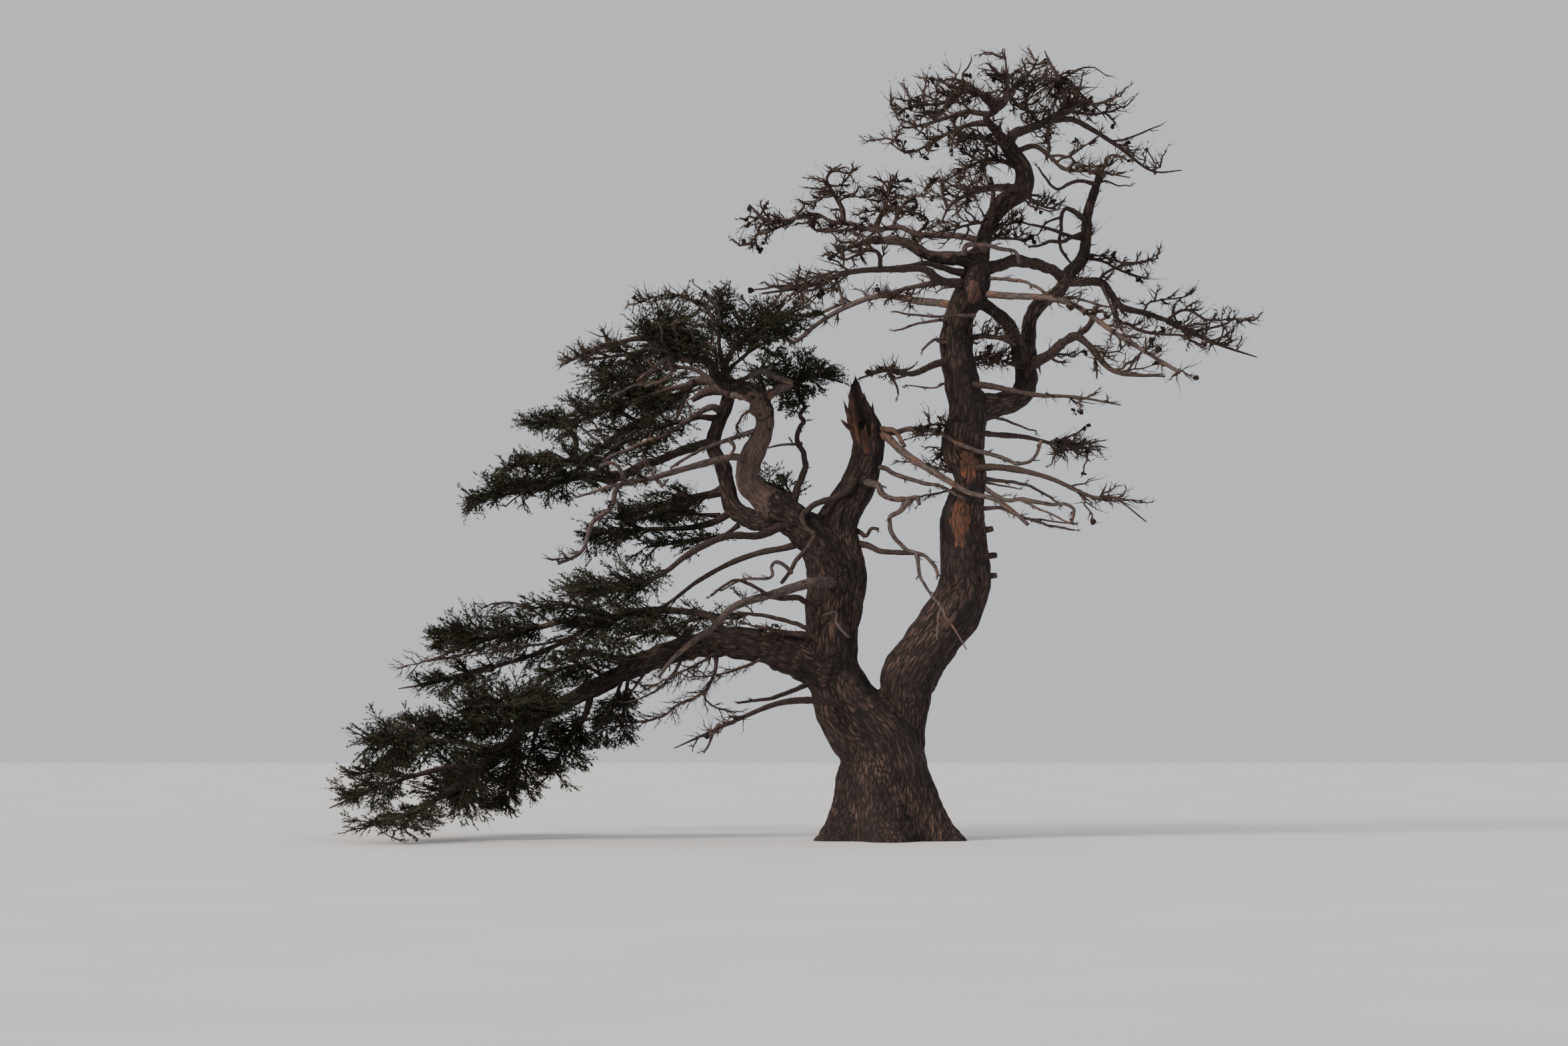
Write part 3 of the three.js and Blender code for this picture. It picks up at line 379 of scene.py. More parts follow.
# Limbs that carry sprays of their own beside the masses, by kind of spray: the share of the limb where they
# begin, how many branchlets to a metre, and how far these reach in centimetres.
CLOTHED = {
    "needles": {
        "west_crest_bough": (0.30, 9, 45), "crest_riser": (0.55, 9, 38), "west_long_bough": (0.22, 9, 50),
        "long_inner": (0.10, 16, 45), "west_dark_bough": (0.30, 9, 40), "back_low": (0.20, 13, 34),
        "behind_fork": (0.20, 15, 30), "under_fork": (0.20, 15, 34), "low_bough": (0.28, 8, 72),
        "behind_low": (0.50, 9, 34), "low_bough_end": (0.10, 12, 55), "low_upper_bough": (0.40, 7, 38),
        "low_drop": (0.20, 20, 36), "above_long": (0.10, 11, 40), "above_low": (0.15, 11, 30),
        "crest_link": (0.40, 11, 30), "hook_left": (0.20, 10, 30), "low_fill": (0.15, 30, 34),
        "low_fall": (0.10, 25, 30), "low_drop_near": (0.15, 22, 30), "crest_tip_low": (0.10, 20, 26),
        "crest_top": (0.45, 26, 30), "dark_end": (0.10, 26, 22), "upper_clump": (0.10, 36, 26),
        "low_fall_near": (0.10, 18, 34), "fork_left": (0.10, 16, 28), "over_low": (0.20, 16, 24),
        "long_over": (0.20, 14, 24), "dark_top": (0.25, 14, 26), "between_boughs": (0.10, 16, 22),
        "long_tufts": (0.45, 14, 20), "inner_over": (0.20, 14, 20), "crest_end": (0.20, 14, 26),
        "hook_fall": (0.10, 15, 18), "hook_fall_near": (0.10, 16, 14), "back_riser": (0.35, 12, 20),
        "over_bough": (0.10, 22, 26), "outer_drop": (0.15, 18, 24),
    },
    "bare": {
        "crown_left_bough": (0.20, 10, 45), "crown_right_bough": (0.30, 10, 48),
        "crown_high_left": (0.15, 9, 28), "crown_level_left": (0.15, 11, 38),
        "crown_arch": (0.10, 11, 34), "crown_fan": (0.10, 8, 38), "crown_fan_low": (0.10, 8, 36),
        "crown_drop": (0.20, 8, 24), "trunk_spray_high": (0.10, 23, 26),
        "trunk_spray_low": (0.10, 29, 36), "trunk_spray_left": (0.10, 14, 34),
        "leader_fans": (0.05, 29, 26), "leader_fans_high": (0.10, 16, 24), "left_fans": (0.10, 18, 28),
        "left_fans_low": (0.10, 18, 26), "second_leader": (0.35, 5, 28),
        "right_long_bough": (0.20, 6, 32), "long_high": (0.10, 7, 22), "long_low": (0.10, 7, 22),
        "long_top": (0.10, 8, 20), "right_low_bough": (0.35, 8, 38), "cone_twig": (0.10, 7, 18),
        "knee_twig": (0.20, 8, 22), "east_far_bough": (0.20, 8, 34), "east_big_bough": (0.45, 5, 34),
        "east_level": (0.20, 9, 34), "far_stem": (0.10, 11, 26), "far_under": (0.10, 11, 24),
        "far_lower": (0.10, 11, 24), "far_twig": (0.10, 11, 20), "level_upright": (0.20, 10, 24),
        "east_bent_bough": (0.25, 6, 26), "low_top": (0.20, 8, 26), "west_drooping_bough": (0.40, 5, 24),
        "crest_knobs": (0.30, 14, 18), "far_loop": (0.25, 14, 18), "hooked_upright": (0.40, 14, 18),
        "crown_high_end": (0.20, 15, 18), "far_upright_right": (0.20, 12, 16),
        "far_upright_loop": (0.30, 12, 16), "crown_side_riser": (0.40, 8, 16),
        "crown_side_fork": (0.20, 10, 16), "leader_side_high": (0.20, 7, 18),
        "crest_tip_end": (0.10, 17, 22), "far_fans": (0.10, 14, 22), "right_inner": (0.10, 14, 24),
        "right_inner_fan": (0.10, 14, 24), "right_inner_low": (0.10, 14, 24),
        "leader_right": (0.10, 7, 22), "crown_crest": (0.10, 13, 26), "crown_mid": (0.10, 13, 24),
        "crown_left_top": (0.10, 13, 24),
    },
    "fine": {
        "low_droop": (0.10, 20, 34), "low_droop_side": (0.10, 16, 26), "under_low": (0.10, 6, 22),
        "under_low_far": (0.10, 6, 20), "upper_fans": (0.10, 16, 36), "tip_fans": (0.10, 16, 36),
        "end_hair": (0.10, 18, 34), "crown_low_end": (0.10, 22, 20), "trunk_feathers": (0.10, 20, 22),
        "trunk_feathers_low": (0.10, 18, 20), "between_fans": (0.20, 16, 28),
        "under_low_near": (0.20, 20, 30), "under_low_middle": (0.20, 20, 30), "dark_hang": (0.10, 16, 22),
        "fork_loop": (0.10, 10, 20), "long_hang": (0.25, 14, 24),
    },
}

# What every other thin limb bears, with the kind of spray first.
PLAIN_LIMB = ("fine", 0.25, 5, 12)

# Broken stubs and hooks that bear no twigs at all.
BARE_STUBS = {"stub_high", "stub_middle", "stub_low", "foot_hook", "snag_crook_twig", "snag_stub", "elbow"}

# Each way-point of a trunk has the thickness there: (across, up, depth, thickness).
TRUNKS = {
    "west_trunk": [
        (0, -20, 0, 140), (0, 0, 0, 138), (-3, 70, 0, 132), (-12, 134, 0, 116), (-60, 197, 0, 96),
        (-80, 250, 0, 74), (-83, 300, 0, 74), (-82, 340, 0, 82), (-74, 395, 0, 82), (-74, 468, 0, 60),
        (-46, 524, 5, 54), (-31, 565, 5, 46), (-28, 600, 0, 47), (-41, 635, -5, 40),
        (-46, 662, -8, 25), (-48, 694, -10, 15),
    ],
    "east_trunk": [
        (8, 90, 5, 70), (27, 190, 8, 68), (30, 235, 6, 88), (62, 288, 3, 76), (99, 340, 0, 78),
        (114, 375, 0, 74), (115, 420, 0, 67), (113, 475, 0, 63), (118, 505, 0, 56), (123, 530, 0, 47),
        (122, 551, 0, 52),
        (113, 580, 0, 68), (114, 602, 0, 68), (119, 628, 0, 58), (117, 655, 0, 55), (112, 684, 0, 52),
        (104, 735, 0, 49), (108, 780, 0, 43), (130, 830, 0, 48), (139, 868, 0, 28),
        (152, 915, 0, 23), (175, 952, 0, 30), (205, 975, 0, 33), (206, 1004, 0, 27), (190, 1028, 0, 26),
        (177, 1050, 0, 25),
    ],
}

# Main boughs: look, thickness at the root and tip, taper, way-points.
BOUGHS = {
    "west_fork": ("bark", 62, 28, 1.3, [
        (-76, 385, 0), (-103, 441, -12), (-138, 474, -18), (-180, 503, -24), (-209, 535, -30),
        (-206, 562, -36), (-187, 603, -40), (-182, 625, -40), (-187, 647, -40)]),
    "west_back_fork": ("bark", 30, 20, 1, [
        (-150, 480, -15), (-192, 474, 30), (-230, 493, 50), (-240, 530, 60), (-247, 558, 66),
        (-261, 583, 70), (-257, 608, 70), (-242, 645, 65), (-235, 674, 60)]),
    "west_crest_bough": ("bark", 25, 12, 1.4, [
        (-189, 638, -44), (-196, 662, -56), (-215, 674, -64), (-246, 681, -78), (-258, 695, -86),
        (-267, 713, -96), (-308, 720, -120), (-329, 730, -135)]),
    "west_long_bough": ("bark", 15, 8, 1, [
        (-236, 664, 60), (-258, 682, 72), (-290, 681, 88), (-315, 657, 105), (-356, 629, 130),
        (-393, 611, 150), (-430, 582, 170), (-470, 563, 190)]),
    "west_dark_bough": ("bark", 15, 11, 1, [
        (-258, 592, 70), (-302, 581, 48), (-347, 563, 18), (-362, 561, 6), (-386, 547, -10),
        (-411, 534, -25)]),
    "west_drooping_bough": ("dead", 11, 5, 1, [
        (-203, 562, -36), (-226, 570, -56), (-282, 558, -80), (-356, 537, -115), (-402, 526, -138),
        (-413, 493, -150), (-440, 472, -165), (-456, 429, -180), (-491, 410, -200)]),
    "front_hanging_bough": ("dead", 18, 5, 1, [
        (-68, 380, -12), (-110, 382, -56), (-163, 367, -76), (-232, 344, -102), (-257, 318, -114),
        (-296, 290, -132), (-324, 264, -142), (-341, 241, -150)]),
    "low_bough": ("bark", 58, 18, 1.2, [
        (-82, 250, 0), (-143, 275, 2), (-184, 287, 6), (-245, 294, 10), (-280, 289, 14),
        (-330, 275, 20), (-380, 255, 25), (-420, 233, 27), (-473, 207, 31), (-550, 161, 40)]),
    "low_bough_end": ("bark", 15, 8, 1, [
        (-545, 165, 38), (-565, 142, 34), (-588, 125, 25), (-613, 102, 10), (-631, 85, 0),
        (-687, 50, -30)]),
    "low_upper_bough": ("bark", 13, 6, 1, [
        (-240, 296, 14), (-262, 330, 48), (-296, 338, 80), (-371, 340, 130), (-432, 324, 160),
        (-478, 296, 185), (-537, 271, 210), (-588, 256, 230)]),
    "crossing_bough": ("dead", 13, 6, 1, [
        (-24, 606, 4), (-2, 600, -12), (19, 581, -34), (51, 558, -62), (88, 536, -71),
        (120, 517, -76), (161, 506, -82), (189, 487, -86), (210, 468, -90)]),
    "east_big_bough": ("bark", 23, 13, 1, [
        (138, 868, 0), (91, 870, -20), (60, 875, -35), (27, 894, -55), (-21, 897, -82)]),
    "east_far_bough": ("bark", 10, 5, 1, [
        (146, 895, 0), (110, 903, 25), (45, 906, 70), (18, 917, 90), (-19, 912, 115),
        (-50, 921, 140), (-83, 925, 160), (-105, 936, 175), (-138, 930, 195), (-170, 923, 215)]),
    "east_bent_bough": ("dead", 13, 5, 1, [
        (112, 795, 0), (84, 801, 25), (45, 805, 60), (-10, 813, 95), (-65, 794, 130),
        (-102, 772, 150), (-142, 743, 175), (-160, 758, 187), (-173, 772, 195), (-197, 771, 205)]),
    "crown_left_bough": ("bark", 15, 8, 1, [
        (181, 1042, -3), (167, 1060, -17), (157, 1072, -25), (150, 1083, -30), (160, 1092, -32),
        (168, 1104, -35)]),
    "crown_right_bough": ("bark", 17, 8, 1, [
        (180, 1040, 2), (193, 1059, 18), (210, 1065, 30), (245, 1080, 50), (267, 1097, 65),
        (270, 1110, 70), (262, 1133, 75)]),
    "second_leader_knee": ("bark", 38, 30, 1, [
        (120, 640, 0), (170, 650, 30), (200, 662, 46), (208, 685, 50), (207, 710, 50),
        (206, 735, 52)]),
    "second_leader_prong": ("bark", 21, 18, 1, [
        (200, 712, 44), (194, 745, 34), (182, 769, 26), (160, 790, 14), (132, 808, 0)]),
    "second_leader": ("bark", 23, 9, 0.4, [
        (211, 714, 57), (212, 748, 67), (216, 780, 67), (232, 803, 74), (258, 820, 78),
        (272, 845, 82), (294, 870, 90), (300, 905, 94), (301, 930, 97), (306, 952, 101),
        (315, 978, 105), (320, 997, 108)]),
    "right_long_bough": ("bark", 16, 7, 1, [
        (268, 836, 81), (289, 834, 88), (322, 832, 98), (336, 815, 104), (350, 797, 108),
        (389, 786, 120), (421, 775, 130)]),
    "right_low_bough": ("dead", 12, 5, 1, [
        (124, 818, 10), (175, 813, -20), (245, 809, -65), (282, 798, -86), (341, 757, -120),
        (397, 722, -155), (438, 697, -178)]),
}

# Lesser limbs: look, thickness at the root and tip, depth at the root and tip, then (across, up) points.
LESSER_LIMBS = {
    "fork_hook": ("dead", 14, 6, -40, -62, [
        (-184, 648), (-180, 660), (-164, 670), (-145, 680), (-154, 686), (-172, 692), (-185, 701),
        (-197, 697), (-218, 684)]),
    "fork_pale": ("dead", 8, 4, -42, -90, [
        (-188, 612), (-234, 597), (-273, 583), (-292, 573), (-325, 554)]),
    "drooping_riser": ("dead", 7, 4, -130, -152, [
        (-380, 532), (-389, 530), (-395, 541), (-402, 554), (-413, 561), (-430, 556)]),
    "drooping_side": ("dead", 6, 3, -138, -165, [(-400, 526), (-406, 528), (-448, 515), (-466, 510)]),
    "back_pale": ("dead", 10, 5, 62, 8, [
        (-250, 640), (-263, 645), (-296, 626), (-315, 614), (-338, 600), (-356, 594), (-389, 580),
        (-421, 567)]),
    "back_riser": ("bark", 9, 5, 66, 20, [
        (-258, 628), (-282, 630), (-302, 624), (-329, 618), (-352, 607), (-356, 591), (-364, 574)]),
    "long_hook": ("dead", 6, 3, 162, 175, [
        (-405, 600), (-417, 589), (-430, 607), (-439, 620), (-452, 631)]),
    "long_upper": ("dead", 5, 2, 165, 205, [(-430, 590), (-448, 605), (-461, 616), (-522, 620)]),
    "dark_lower": ("dead", 6, 2, -28, -75, [
        (-405, 545), (-430, 548), (-490, 532), (-518, 521), (-540, 517), (-558, 506), (-571, 495)]),
    "fork_upright": ("bark", 12, 6, -15, 10, [
        (-143, 485), (-138, 509), (-134, 525), (-126, 544), (-122, 558), (-126, 577), (-134, 595),
        (-130, 616), (-124, 624), (-130, 633), (-121, 647)]),
    "upright_side": ("dead", 5, 3, 0, 12, [(-128, 590), (-137, 589), (-160, 589), (-178, 583)]),
    "elbow": ("bark", 11, 6, -14, -72, [
        (-50, 538), (-59, 521), (-79, 509), (-102, 502), (-123, 488), (-127, 476), (-120, 463),
        (-110, 454), (-118, 436), (-137, 415), (-146, 397), (-159, 382)]),
    "back_low": ("bark", 13, 8, 55, 72, [
        (-240, 520), (-253, 517), (-296, 509), (-313, 513), (-322, 502), (-324, 485)]),
    "hanging_root": ("bark", 10, 8, -14, -74, [
        (-85, 350), (-118, 352), (-135, 359), (-163, 359), (-185, 362)]),
    "hanging_upper": ("bark", 6, 4, -78, -112, [
        (-165, 368), (-180, 365), (-199, 376), (-225, 386), (-264, 363)]),
    "low_top": ("bark", 10, 6, -18, -14, [
        (-95, 290), (-115, 302), (-143, 306), (-184, 314), (-198, 318)]),
    "low_droop": ("dead", 6, 3, 12, 42, [
        (-255, 272), (-257, 251), (-264, 233), (-272, 220), (-286, 212), (-317, 198), (-329, 186),
        (-368, 175), (-398, 175)]),
    "low_droop_side": ("dead", 4, 2, 20, 36, [(-270, 224), (-272, 214), (-264, 200), (-227, 188)]),
    "front_side": ("dead", 6, 3, -120, -150, [(-250, 170), (-258, 161), (-266, 141), (-274, 129)]),
    "low_grey": ("bark", 10, 4, -10, -62, [
        (-85, 236), (-117, 231), (-143, 220), (-174, 210), (-223, 203)]),
    "foot_hook": ("dead", 6, 4, -29, -50, [(-88, 330), (-95, 333), (-78, 337), (-75, 321), (-58, 300)]),
    "crest_knobs": ("dead", 5, 2, -118, -150, [
        (-262, 740), (-265, 785), (-290, 805), (-320, 815), (-345, 812), (-380, 800)]),
    "crest_stick": ("dead", 4, 2, -110, -128, [(-250, 770), (-255, 795), (-270, 815), (-290, 830)]),
    "snag_stub": ("dead", 10, 6, 0, -32, [(-25, 612), (-4, 611), (9, 609), (21, 594), (25, 587)]),
    "crossing_upper": ("dead", 9, 5, 0, -62, [
        (-22, 606), (13, 607), (28, 611), (51, 611), (71, 609), (88, 601), (107, 590), (129, 581),
        (150, 575), (171, 569), (193, 560), (210, 562), (223, 573), (230, 595)]),
    "crossing_lower": ("dead", 9, 4, 0, -46, [
        (-40, 556), (-7, 554), (9, 545), (34, 536), (56, 530), (77, 528), (96, 517), (118, 506)]),
    "snag_crook": ("dead", 12, 6, -8, -50, [
        (-34, 531), (-22, 530), (-13, 527), (-9, 515), (4, 509), (26, 506), (43, 509), (47, 498)]),
    "snag_crook_drop": ("dead", 8, 5, -46, -52, [
        (34, 507), (28, 500), (19, 489), (4, 479), (4, 464), (11, 449), (28, 431), (43, 425), (56, 421),
        (69, 406), (77, 391)]),
    "snag_crook_tail": ("dead", 6, 3, -50, -62, [
        (43, 425), (45, 416), (47, 395), (56, 376), (69, 358), (79, 347), (75, 331), (74, 296)]),
    "snag_crook_twig": ("dead", 5, 2, -58, -62, [
        (76, 352), (79, 347), (88, 327), (100, 312), (117, 283)]),
    "middle_arm": ("bark", 10, 6, -5, -46, [(-50, 440), (-32, 438), (-11, 429), (32, 427), (50, 424)]),
    "crown_high_left": ("bark", 12, 5, -33, -108, [
        (166, 1096), (155, 1107), (145, 1117), (132, 1122), (110, 1122), (95, 1105), (80, 1092),
        (55, 1090)]),
    "crown_level_left": ("bark", 9, 4, -28, 18, [
        (156, 1088), (120, 1092), (95, 1085), (70, 1077), (32, 1067)]),
    "crown_arch": ("bark", 7, 6, -30, 48, [
        (160, 1098), (170, 1105), (178, 1115), (186, 1117), (200, 1100), (215, 1092), (225, 1080),
        (236, 1076)]),
    "crown_inner": ("bark", 10, 6, -8, -30, [(152, 920), (158, 935), (160, 975), (156, 993)]),
    "crown_drop": ("bark", 6, 5, -22, 48, [(238, 1030), (245, 1033), (242, 1060), (250, 1082)]),
    "crown_fan": ("bark", 9, 4, 66, 100, [(268, 1100), (290, 1106), (318, 1104), (340, 1112)]),
    "crown_fan_low": ("bark", 7, 3, 50, 110, [(240, 1080), (272, 1092), (305, 1088), (345, 1094)]),
    "far_lower": ("bark", 6, 3, 196, 235, [
        (-140, 930), (-142, 925), (-157, 919), (-184, 908), (-197, 904), (-199, 894), (-222, 888)]),
    "far_under": ("bark", 5, 4, 180, 132, [
        (-109, 936), (-109, 921), (-107, 912), (-68, 912), (-40, 914)]),
    "far_twig": ("bark", 4, 2, 145, 165, [(-82, 968), (-85, 971), (-105, 956), (-127, 950)]),
    "far_stem": ("bark", 6, 3, 95, 80, [(10, 917), (14, 932), (16, 941), (29, 954), (40, 964)]),
    "east_level": ("bark", 12, 6, 0, 88, [
        (125, 832), (110, 831), (82, 834), (64, 831), (45, 827), (9, 818), (-6, 813)]),
    "level_upright": ("bark", 7, 3, -98, -128, [
        (-8, 850), (-10, 859), (-10, 870), (-15, 879), (-28, 881), (-43, 875), (-65, 868), (-76, 874)]),
    "bent_side": ("dead", 6, 4, 128, 158, [(-58, 797), (-65, 802), (-80, 796), (-102, 787), (-127, 785)]),
    "bent_riser": ("dead", 5, 5, 128, 128, [(-64, 796), (-72, 827), (-76, 837), (-84, 846)]),
    "leader_arch": ("bark", 20, 17, 0, 78, [
        (130, 847), (140, 852), (170, 859), (190, 866), (215, 862), (240, 855), (260, 844), (268, 832)]),
    "leader_twig_low": ("bark", 7, 3, 94, 50, [
        (292, 900), (278, 902), (262, 908), (245, 914), (213, 922), (194, 926)]),
    "leader_drop": ("bark", 4, 2, 84, 50, [
        (262, 932), (248, 927), (236, 920), (229, 908), (220, 904), (210, 905), (200, 911)]),
    "leader_side_high": ("bark", 4, 2, 92, 112, [
        (300, 876), (322, 872), (342, 866), (372, 863), (394, 867)]),
    "leader_side_top": ("bark", 4, 2, 104, 118, [(316, 983), (330, 986), (345, 981), (366, 979)]),
    "knee_front": ("dead", 9, 6, 0, 26, [(120, 748), (140, 752), (158, 751), (174, 747), (192, 737)]),
    "inner_bare": ("dead", 4, 2, -2, 30, [
        (200, 970), (208, 963), (217, 957), (213, 951), (228, 946), (245, 941), (256, 944), (266, 957)]),
    "crown_side_riser": ("bark", 5, 2, -30, -64, [
        (240, 1024), (258, 1026), (270, 1024), (281, 1027), (291, 1035), (304, 1043), (322, 1058)]),
    "crown_side_fork": ("bark", 5, 2, -80, -104, [
        (318, 1001), (331, 1011), (329, 1019), (338, 1026), (352, 1024), (364, 1017)]),
    "far_upright_right": ("bark", 4, 2, 148, 130, [
        (-72, 956), (-63, 962), (-50, 964), (-35, 961), (-22, 966)]),
    "far_upright_loop": ("bark", 4, 2, 144, 138, [
        (-86, 980), (-70, 980), (-64, 988), (-55, 996), (-50, 1004)]),
    "far_loop": ("bark", 5, 3, 84, 112, [
        (28, 954), (42, 960), (45, 947), (30, 941), (0, 943), (-22, 942), (-40, 938)]),
    "hooked_upright": ("bark", 5, 3, -86, -66, [
        (92, 946), (86, 960), (82, 975), (80, 990), (71, 989), (65, 980)]),
    "crown_high_end": ("bark", 4, 2, -104, -128, [
        (57, 1091), (54, 1102), (40, 1102), (24, 1096), (8, 1101)]),
    "crown_low_end": ("bark", 4, 2, 36, 52, [(20, 1040), (8, 1050), (-12, 1050), (-31, 1047)]),
    "low_drop_near": ("bark", 6, 3, 27, 72, [(-384, 252), (-389, 222), (-393, 196), (-397, 164)]),
    "leader_loop": ("bark", 8, 4, 97, 86, [
        (296, 930), (282, 940), (271, 945), (264, 938), (261, 905), (259, 892), (264, 878), (272, 867),
        (282, 858)]),
    "leader_loop_side": ("bark", 7, 4, 92, 60, [
        (292, 906), (278, 901), (262, 895), (245, 896), (233, 890), (213, 887)]),
    "leader_stick": ("bark", 7, 3, 104, 60, [
        (315, 982), (290, 987), (270, 981), (255, 975), (235, 997), (228, 1007)]),
    "long_high": ("bark", 5, 2, 130, 118, [
        (421, 776), (438, 789), (454, 791), (467, 784), (478, 777), (495, 775), (519, 778), (552, 775)]),
    "long_low": ("bark", 6, 4, 106, 100, [
        (340, 805), (348, 775), (364, 769), (377, 761), (421, 754), (439, 754), (469, 740), (482, 745)]),
    "long_top": ("bark", 4, 2, 120, 150, [(385, 788), (393, 802), (423, 808), (446, 811), (460, 820)]),
    "low_companion": ("dead", 6, 3, -72, -58, [
        (255, 806), (271, 810), (299, 805), (318, 798), (341, 796)]),
    "low_second": ("dead", 6, 5, 0, -62, [
        (140, 838), (163, 839), (184, 837), (203, 835), (220, 828), (236, 818), (248, 810)]),
    "pale_top": ("dead", 8, 5, -20, -36, [
        (115, 874), (120, 889), (149, 889), (167, 884), (191, 880), (200, 861)]),
    "cone_twig": ("bark", 5, 2, 98, 80, [(318, 835), (325, 844), (345, 855), (370, 862), (408, 870)]),
    "knee_twig": ("bark", 7, 3, 50, 92, [(205, 712), (230, 712), (241, 716), (255, 724), (282, 721)]),
    "back_parallel": ("dead", 5, 3, 20, 22, [(150, 632), (177, 625), (211, 612), (223, 608)]),
    "right_spare": ("dead", 7, 3, 0, 52, [
        (140, 538), (171, 534), (208, 528), (231, 517), (245, 508), (261, 497)]),
    "right_spur": ("dead", 4, 2, 0, 8, [(140, 532), (156, 530), (197, 521)]),
    "right_under": ("dead", 8, 5, 0, -72, [
        (135, 540), (148, 522), (160, 514), (176, 505), (202, 506), (240, 499), (263, 500), (278, 492),
        (274, 471)]),
    "right_under_low": ("dead", 4, 3, -30, -70, [(195, 507), (205, 502), (232, 490), (274, 470)]),
    "right_lowest": ("dead", 7, 3, 0, 42, [
        (135, 492), (171, 493), (202, 479), (217, 476), (240, 468), (280, 460)]),
    "right_lowest_side": ("dead", 4, 2, 24, 38, [(217, 476), (226, 476), (280, 470)]),
    "stub_high": ("bark", 11, 8, 0, -6, [(130, 458), (145, 460), (157, 463)]),
    "stub_middle": ("bark", 11, 8, 0, 5, [(130, 419), (148, 421), (162, 423)]),
    "stub_low": ("bark", 11, 8, 0, -3, [(132, 388), (150, 391), (163, 393)]),
    "left_tip": ("bark", 5, 2, -72, -90, [(-2, 702), (-10, 704), (-25, 696), (-43, 686)]),
    "left_hang": ("bark", 5, 3, -68, -72, [(2, 699), (5, 690), (14, 678), (17, 663)]),
    "left_stick": ("bark", 5, 3, -45, -30, [(20, 696), (23, 697), (40, 707)]),
    "front_pale": ("dead", 6, 3, -20, -48, [(130, 783), (123, 783), (47, 783), (10, 790)]),
    "left_high": ("dead", 6, 3, 0, -32, [(104, 776), (87, 776), (71, 775), (37, 768), (11, 759)]),
    "left_crook": ("dead", 6, 4, -5, -26, [(98, 742), (80, 744), (71, 747), (52, 730)]),
    "under_low": ("dead", 6, 2, 20, 5, [(-300, 282), (-318, 248), (-345, 222), (-372, 208), (-398, 204)]),
    "under_low_far": ("dead", 5, 2, 22, 60, [
        (-352, 262), (-372, 232), (-398, 205), (-420, 190), (-436, 176)]),
    "upper_fans": ("dead", 5, 2, 186, 160, [(-500, 322), (-545, 348), (-578, 352), (-606, 344)]),
    "tip_fans": ("dead", 5, 2, 200, 232, [(-600, 285), (-640, 273), (-690, 264), (-730, 255)]),
    "end_hair": ("dead", 5, 2, -86, -112, [(-735, 32), (-752, 26), (-772, 20), (-792, 16)]),
    "above_long": ("bark", 8, 3, 70, 190, [
        (-290, 681), (-340, 668), (-398, 648), (-452, 640), (-498, 622)]),
    "above_low": ("bark", 8, 3, 25, -40, [(-380, 256), (-412, 274), (-446, 274), (-490, 264)]),
    "crest_link": ("bark", 7, 3, -78, -30, [(-246, 682), (-226, 712), (-188, 740), (-150, 752)]),
    "hook_left": ("bark", 6, 3, -20, 30, [(-180, 652), (-186, 676), (-190, 700), (-180, 716)]),
    "knot_wood": ("bark", 19, 9, 44, 62, [(-232, 668), (-250, 672), (-272, 667), (-292, 656)]),
    "fork_bridge": ("dead", 14, 10, -42, 10, [(-188, 650), (-212, 660), (-232, 662)]),
    "fork_loop": ("dead", 5, 3, -40, -10, [(-190, 640), (-214, 634), (-226, 614), (-214, 600)]),
    "level_upper": ("bark", 12, 7, 0, -70, [
        (125, 846), (100, 850), (78, 858), (55, 862), (30, 856), (8, 853)]),
    "low_fill": ("bark", 9, 4, 35, -70, [(-540, 166), (-580, 172), (-640, 170), (-704, 164)]),
    "low_fall": ("bark", 7, 3, 38, 10, [(-545, 160), (-554, 125), (-562, 90), (-574, 52)]),
    "low_fall_near": ("bark", 7, 3, 36, 90, [(-520, 172), (-528, 140), (-536, 110), (-540, 76)]),
    "fork_left": ("bark", 7, 3, 80, 40, [(-425, 330), (-460, 345), (-495, 350), (-524, 344)]),
    "over_low": ("bark", 7, 3, 12, -60, [(-280, 292), (-325, 306), (-370, 306), (-404, 296)]),
    "between_fans": ("dead", 5, 2, 190, 130, [(-478, 298), (-520, 290), (-566, 282), (-612, 274)]),
    "long_over": ("bark", 7, 3, 138, 90, [(-372, 622), (-410, 640), (-446, 632), (-474, 616)]),
    "dark_top": ("bark", 7, 3, -22, -110, [(-405, 540), (-450, 560), (-510, 566), (-566, 552)]),
    "between_boughs": ("bark", 7, 3, 120, 40, [(-352, 624), (-390, 598), (-416, 576), (-440, 558)]),
    "long_tufts": ("bark", 6, 3, 92, 60, [(-296, 676), (-310, 640), (-330, 606), (-352, 590)]),
    "inner_over": ("bark", 7, 3, 50, 20, [(-250, 482), (-300, 484), (-352, 480), (-398, 472)]),
    "crest_end": ("bark", 6, 3, -70, -40, [(-195, 762), (-165, 775), (-140, 784), (-116, 780)]),
    "under_low_near": ("dead", 6, 2, 4, -40, [(-170, 280), (-205, 260), (-250, 246), (-302, 240)]),
    "under_low_middle": ("dead", 6, 2, 10, -50, [(-240, 290), (-280, 262), (-325, 240), (-356, 226)]),
    "dark_hang": ("dead", 4, 2, -68, -80, [(-530, 522), (-544, 508), (-542, 490)]),
    "far_fans": ("bark", 5, 2, 70, 50, [(45, 906), (62, 926), (46, 938), (24, 940)]),
    "leader_fans_high": ("bark", 5, 2, 0, -25, [(112, 742), (150, 752), (182, 750)]),
    "right_inner": ("bark", 6, 3, 0, 30, [(206, 978), (216, 958), (234, 948), (254, 944)]),
    "right_inner_fan": ("bark", 6, 3, 0, -30, [(158, 908), (175, 920), (186, 930), (194, 940)]),
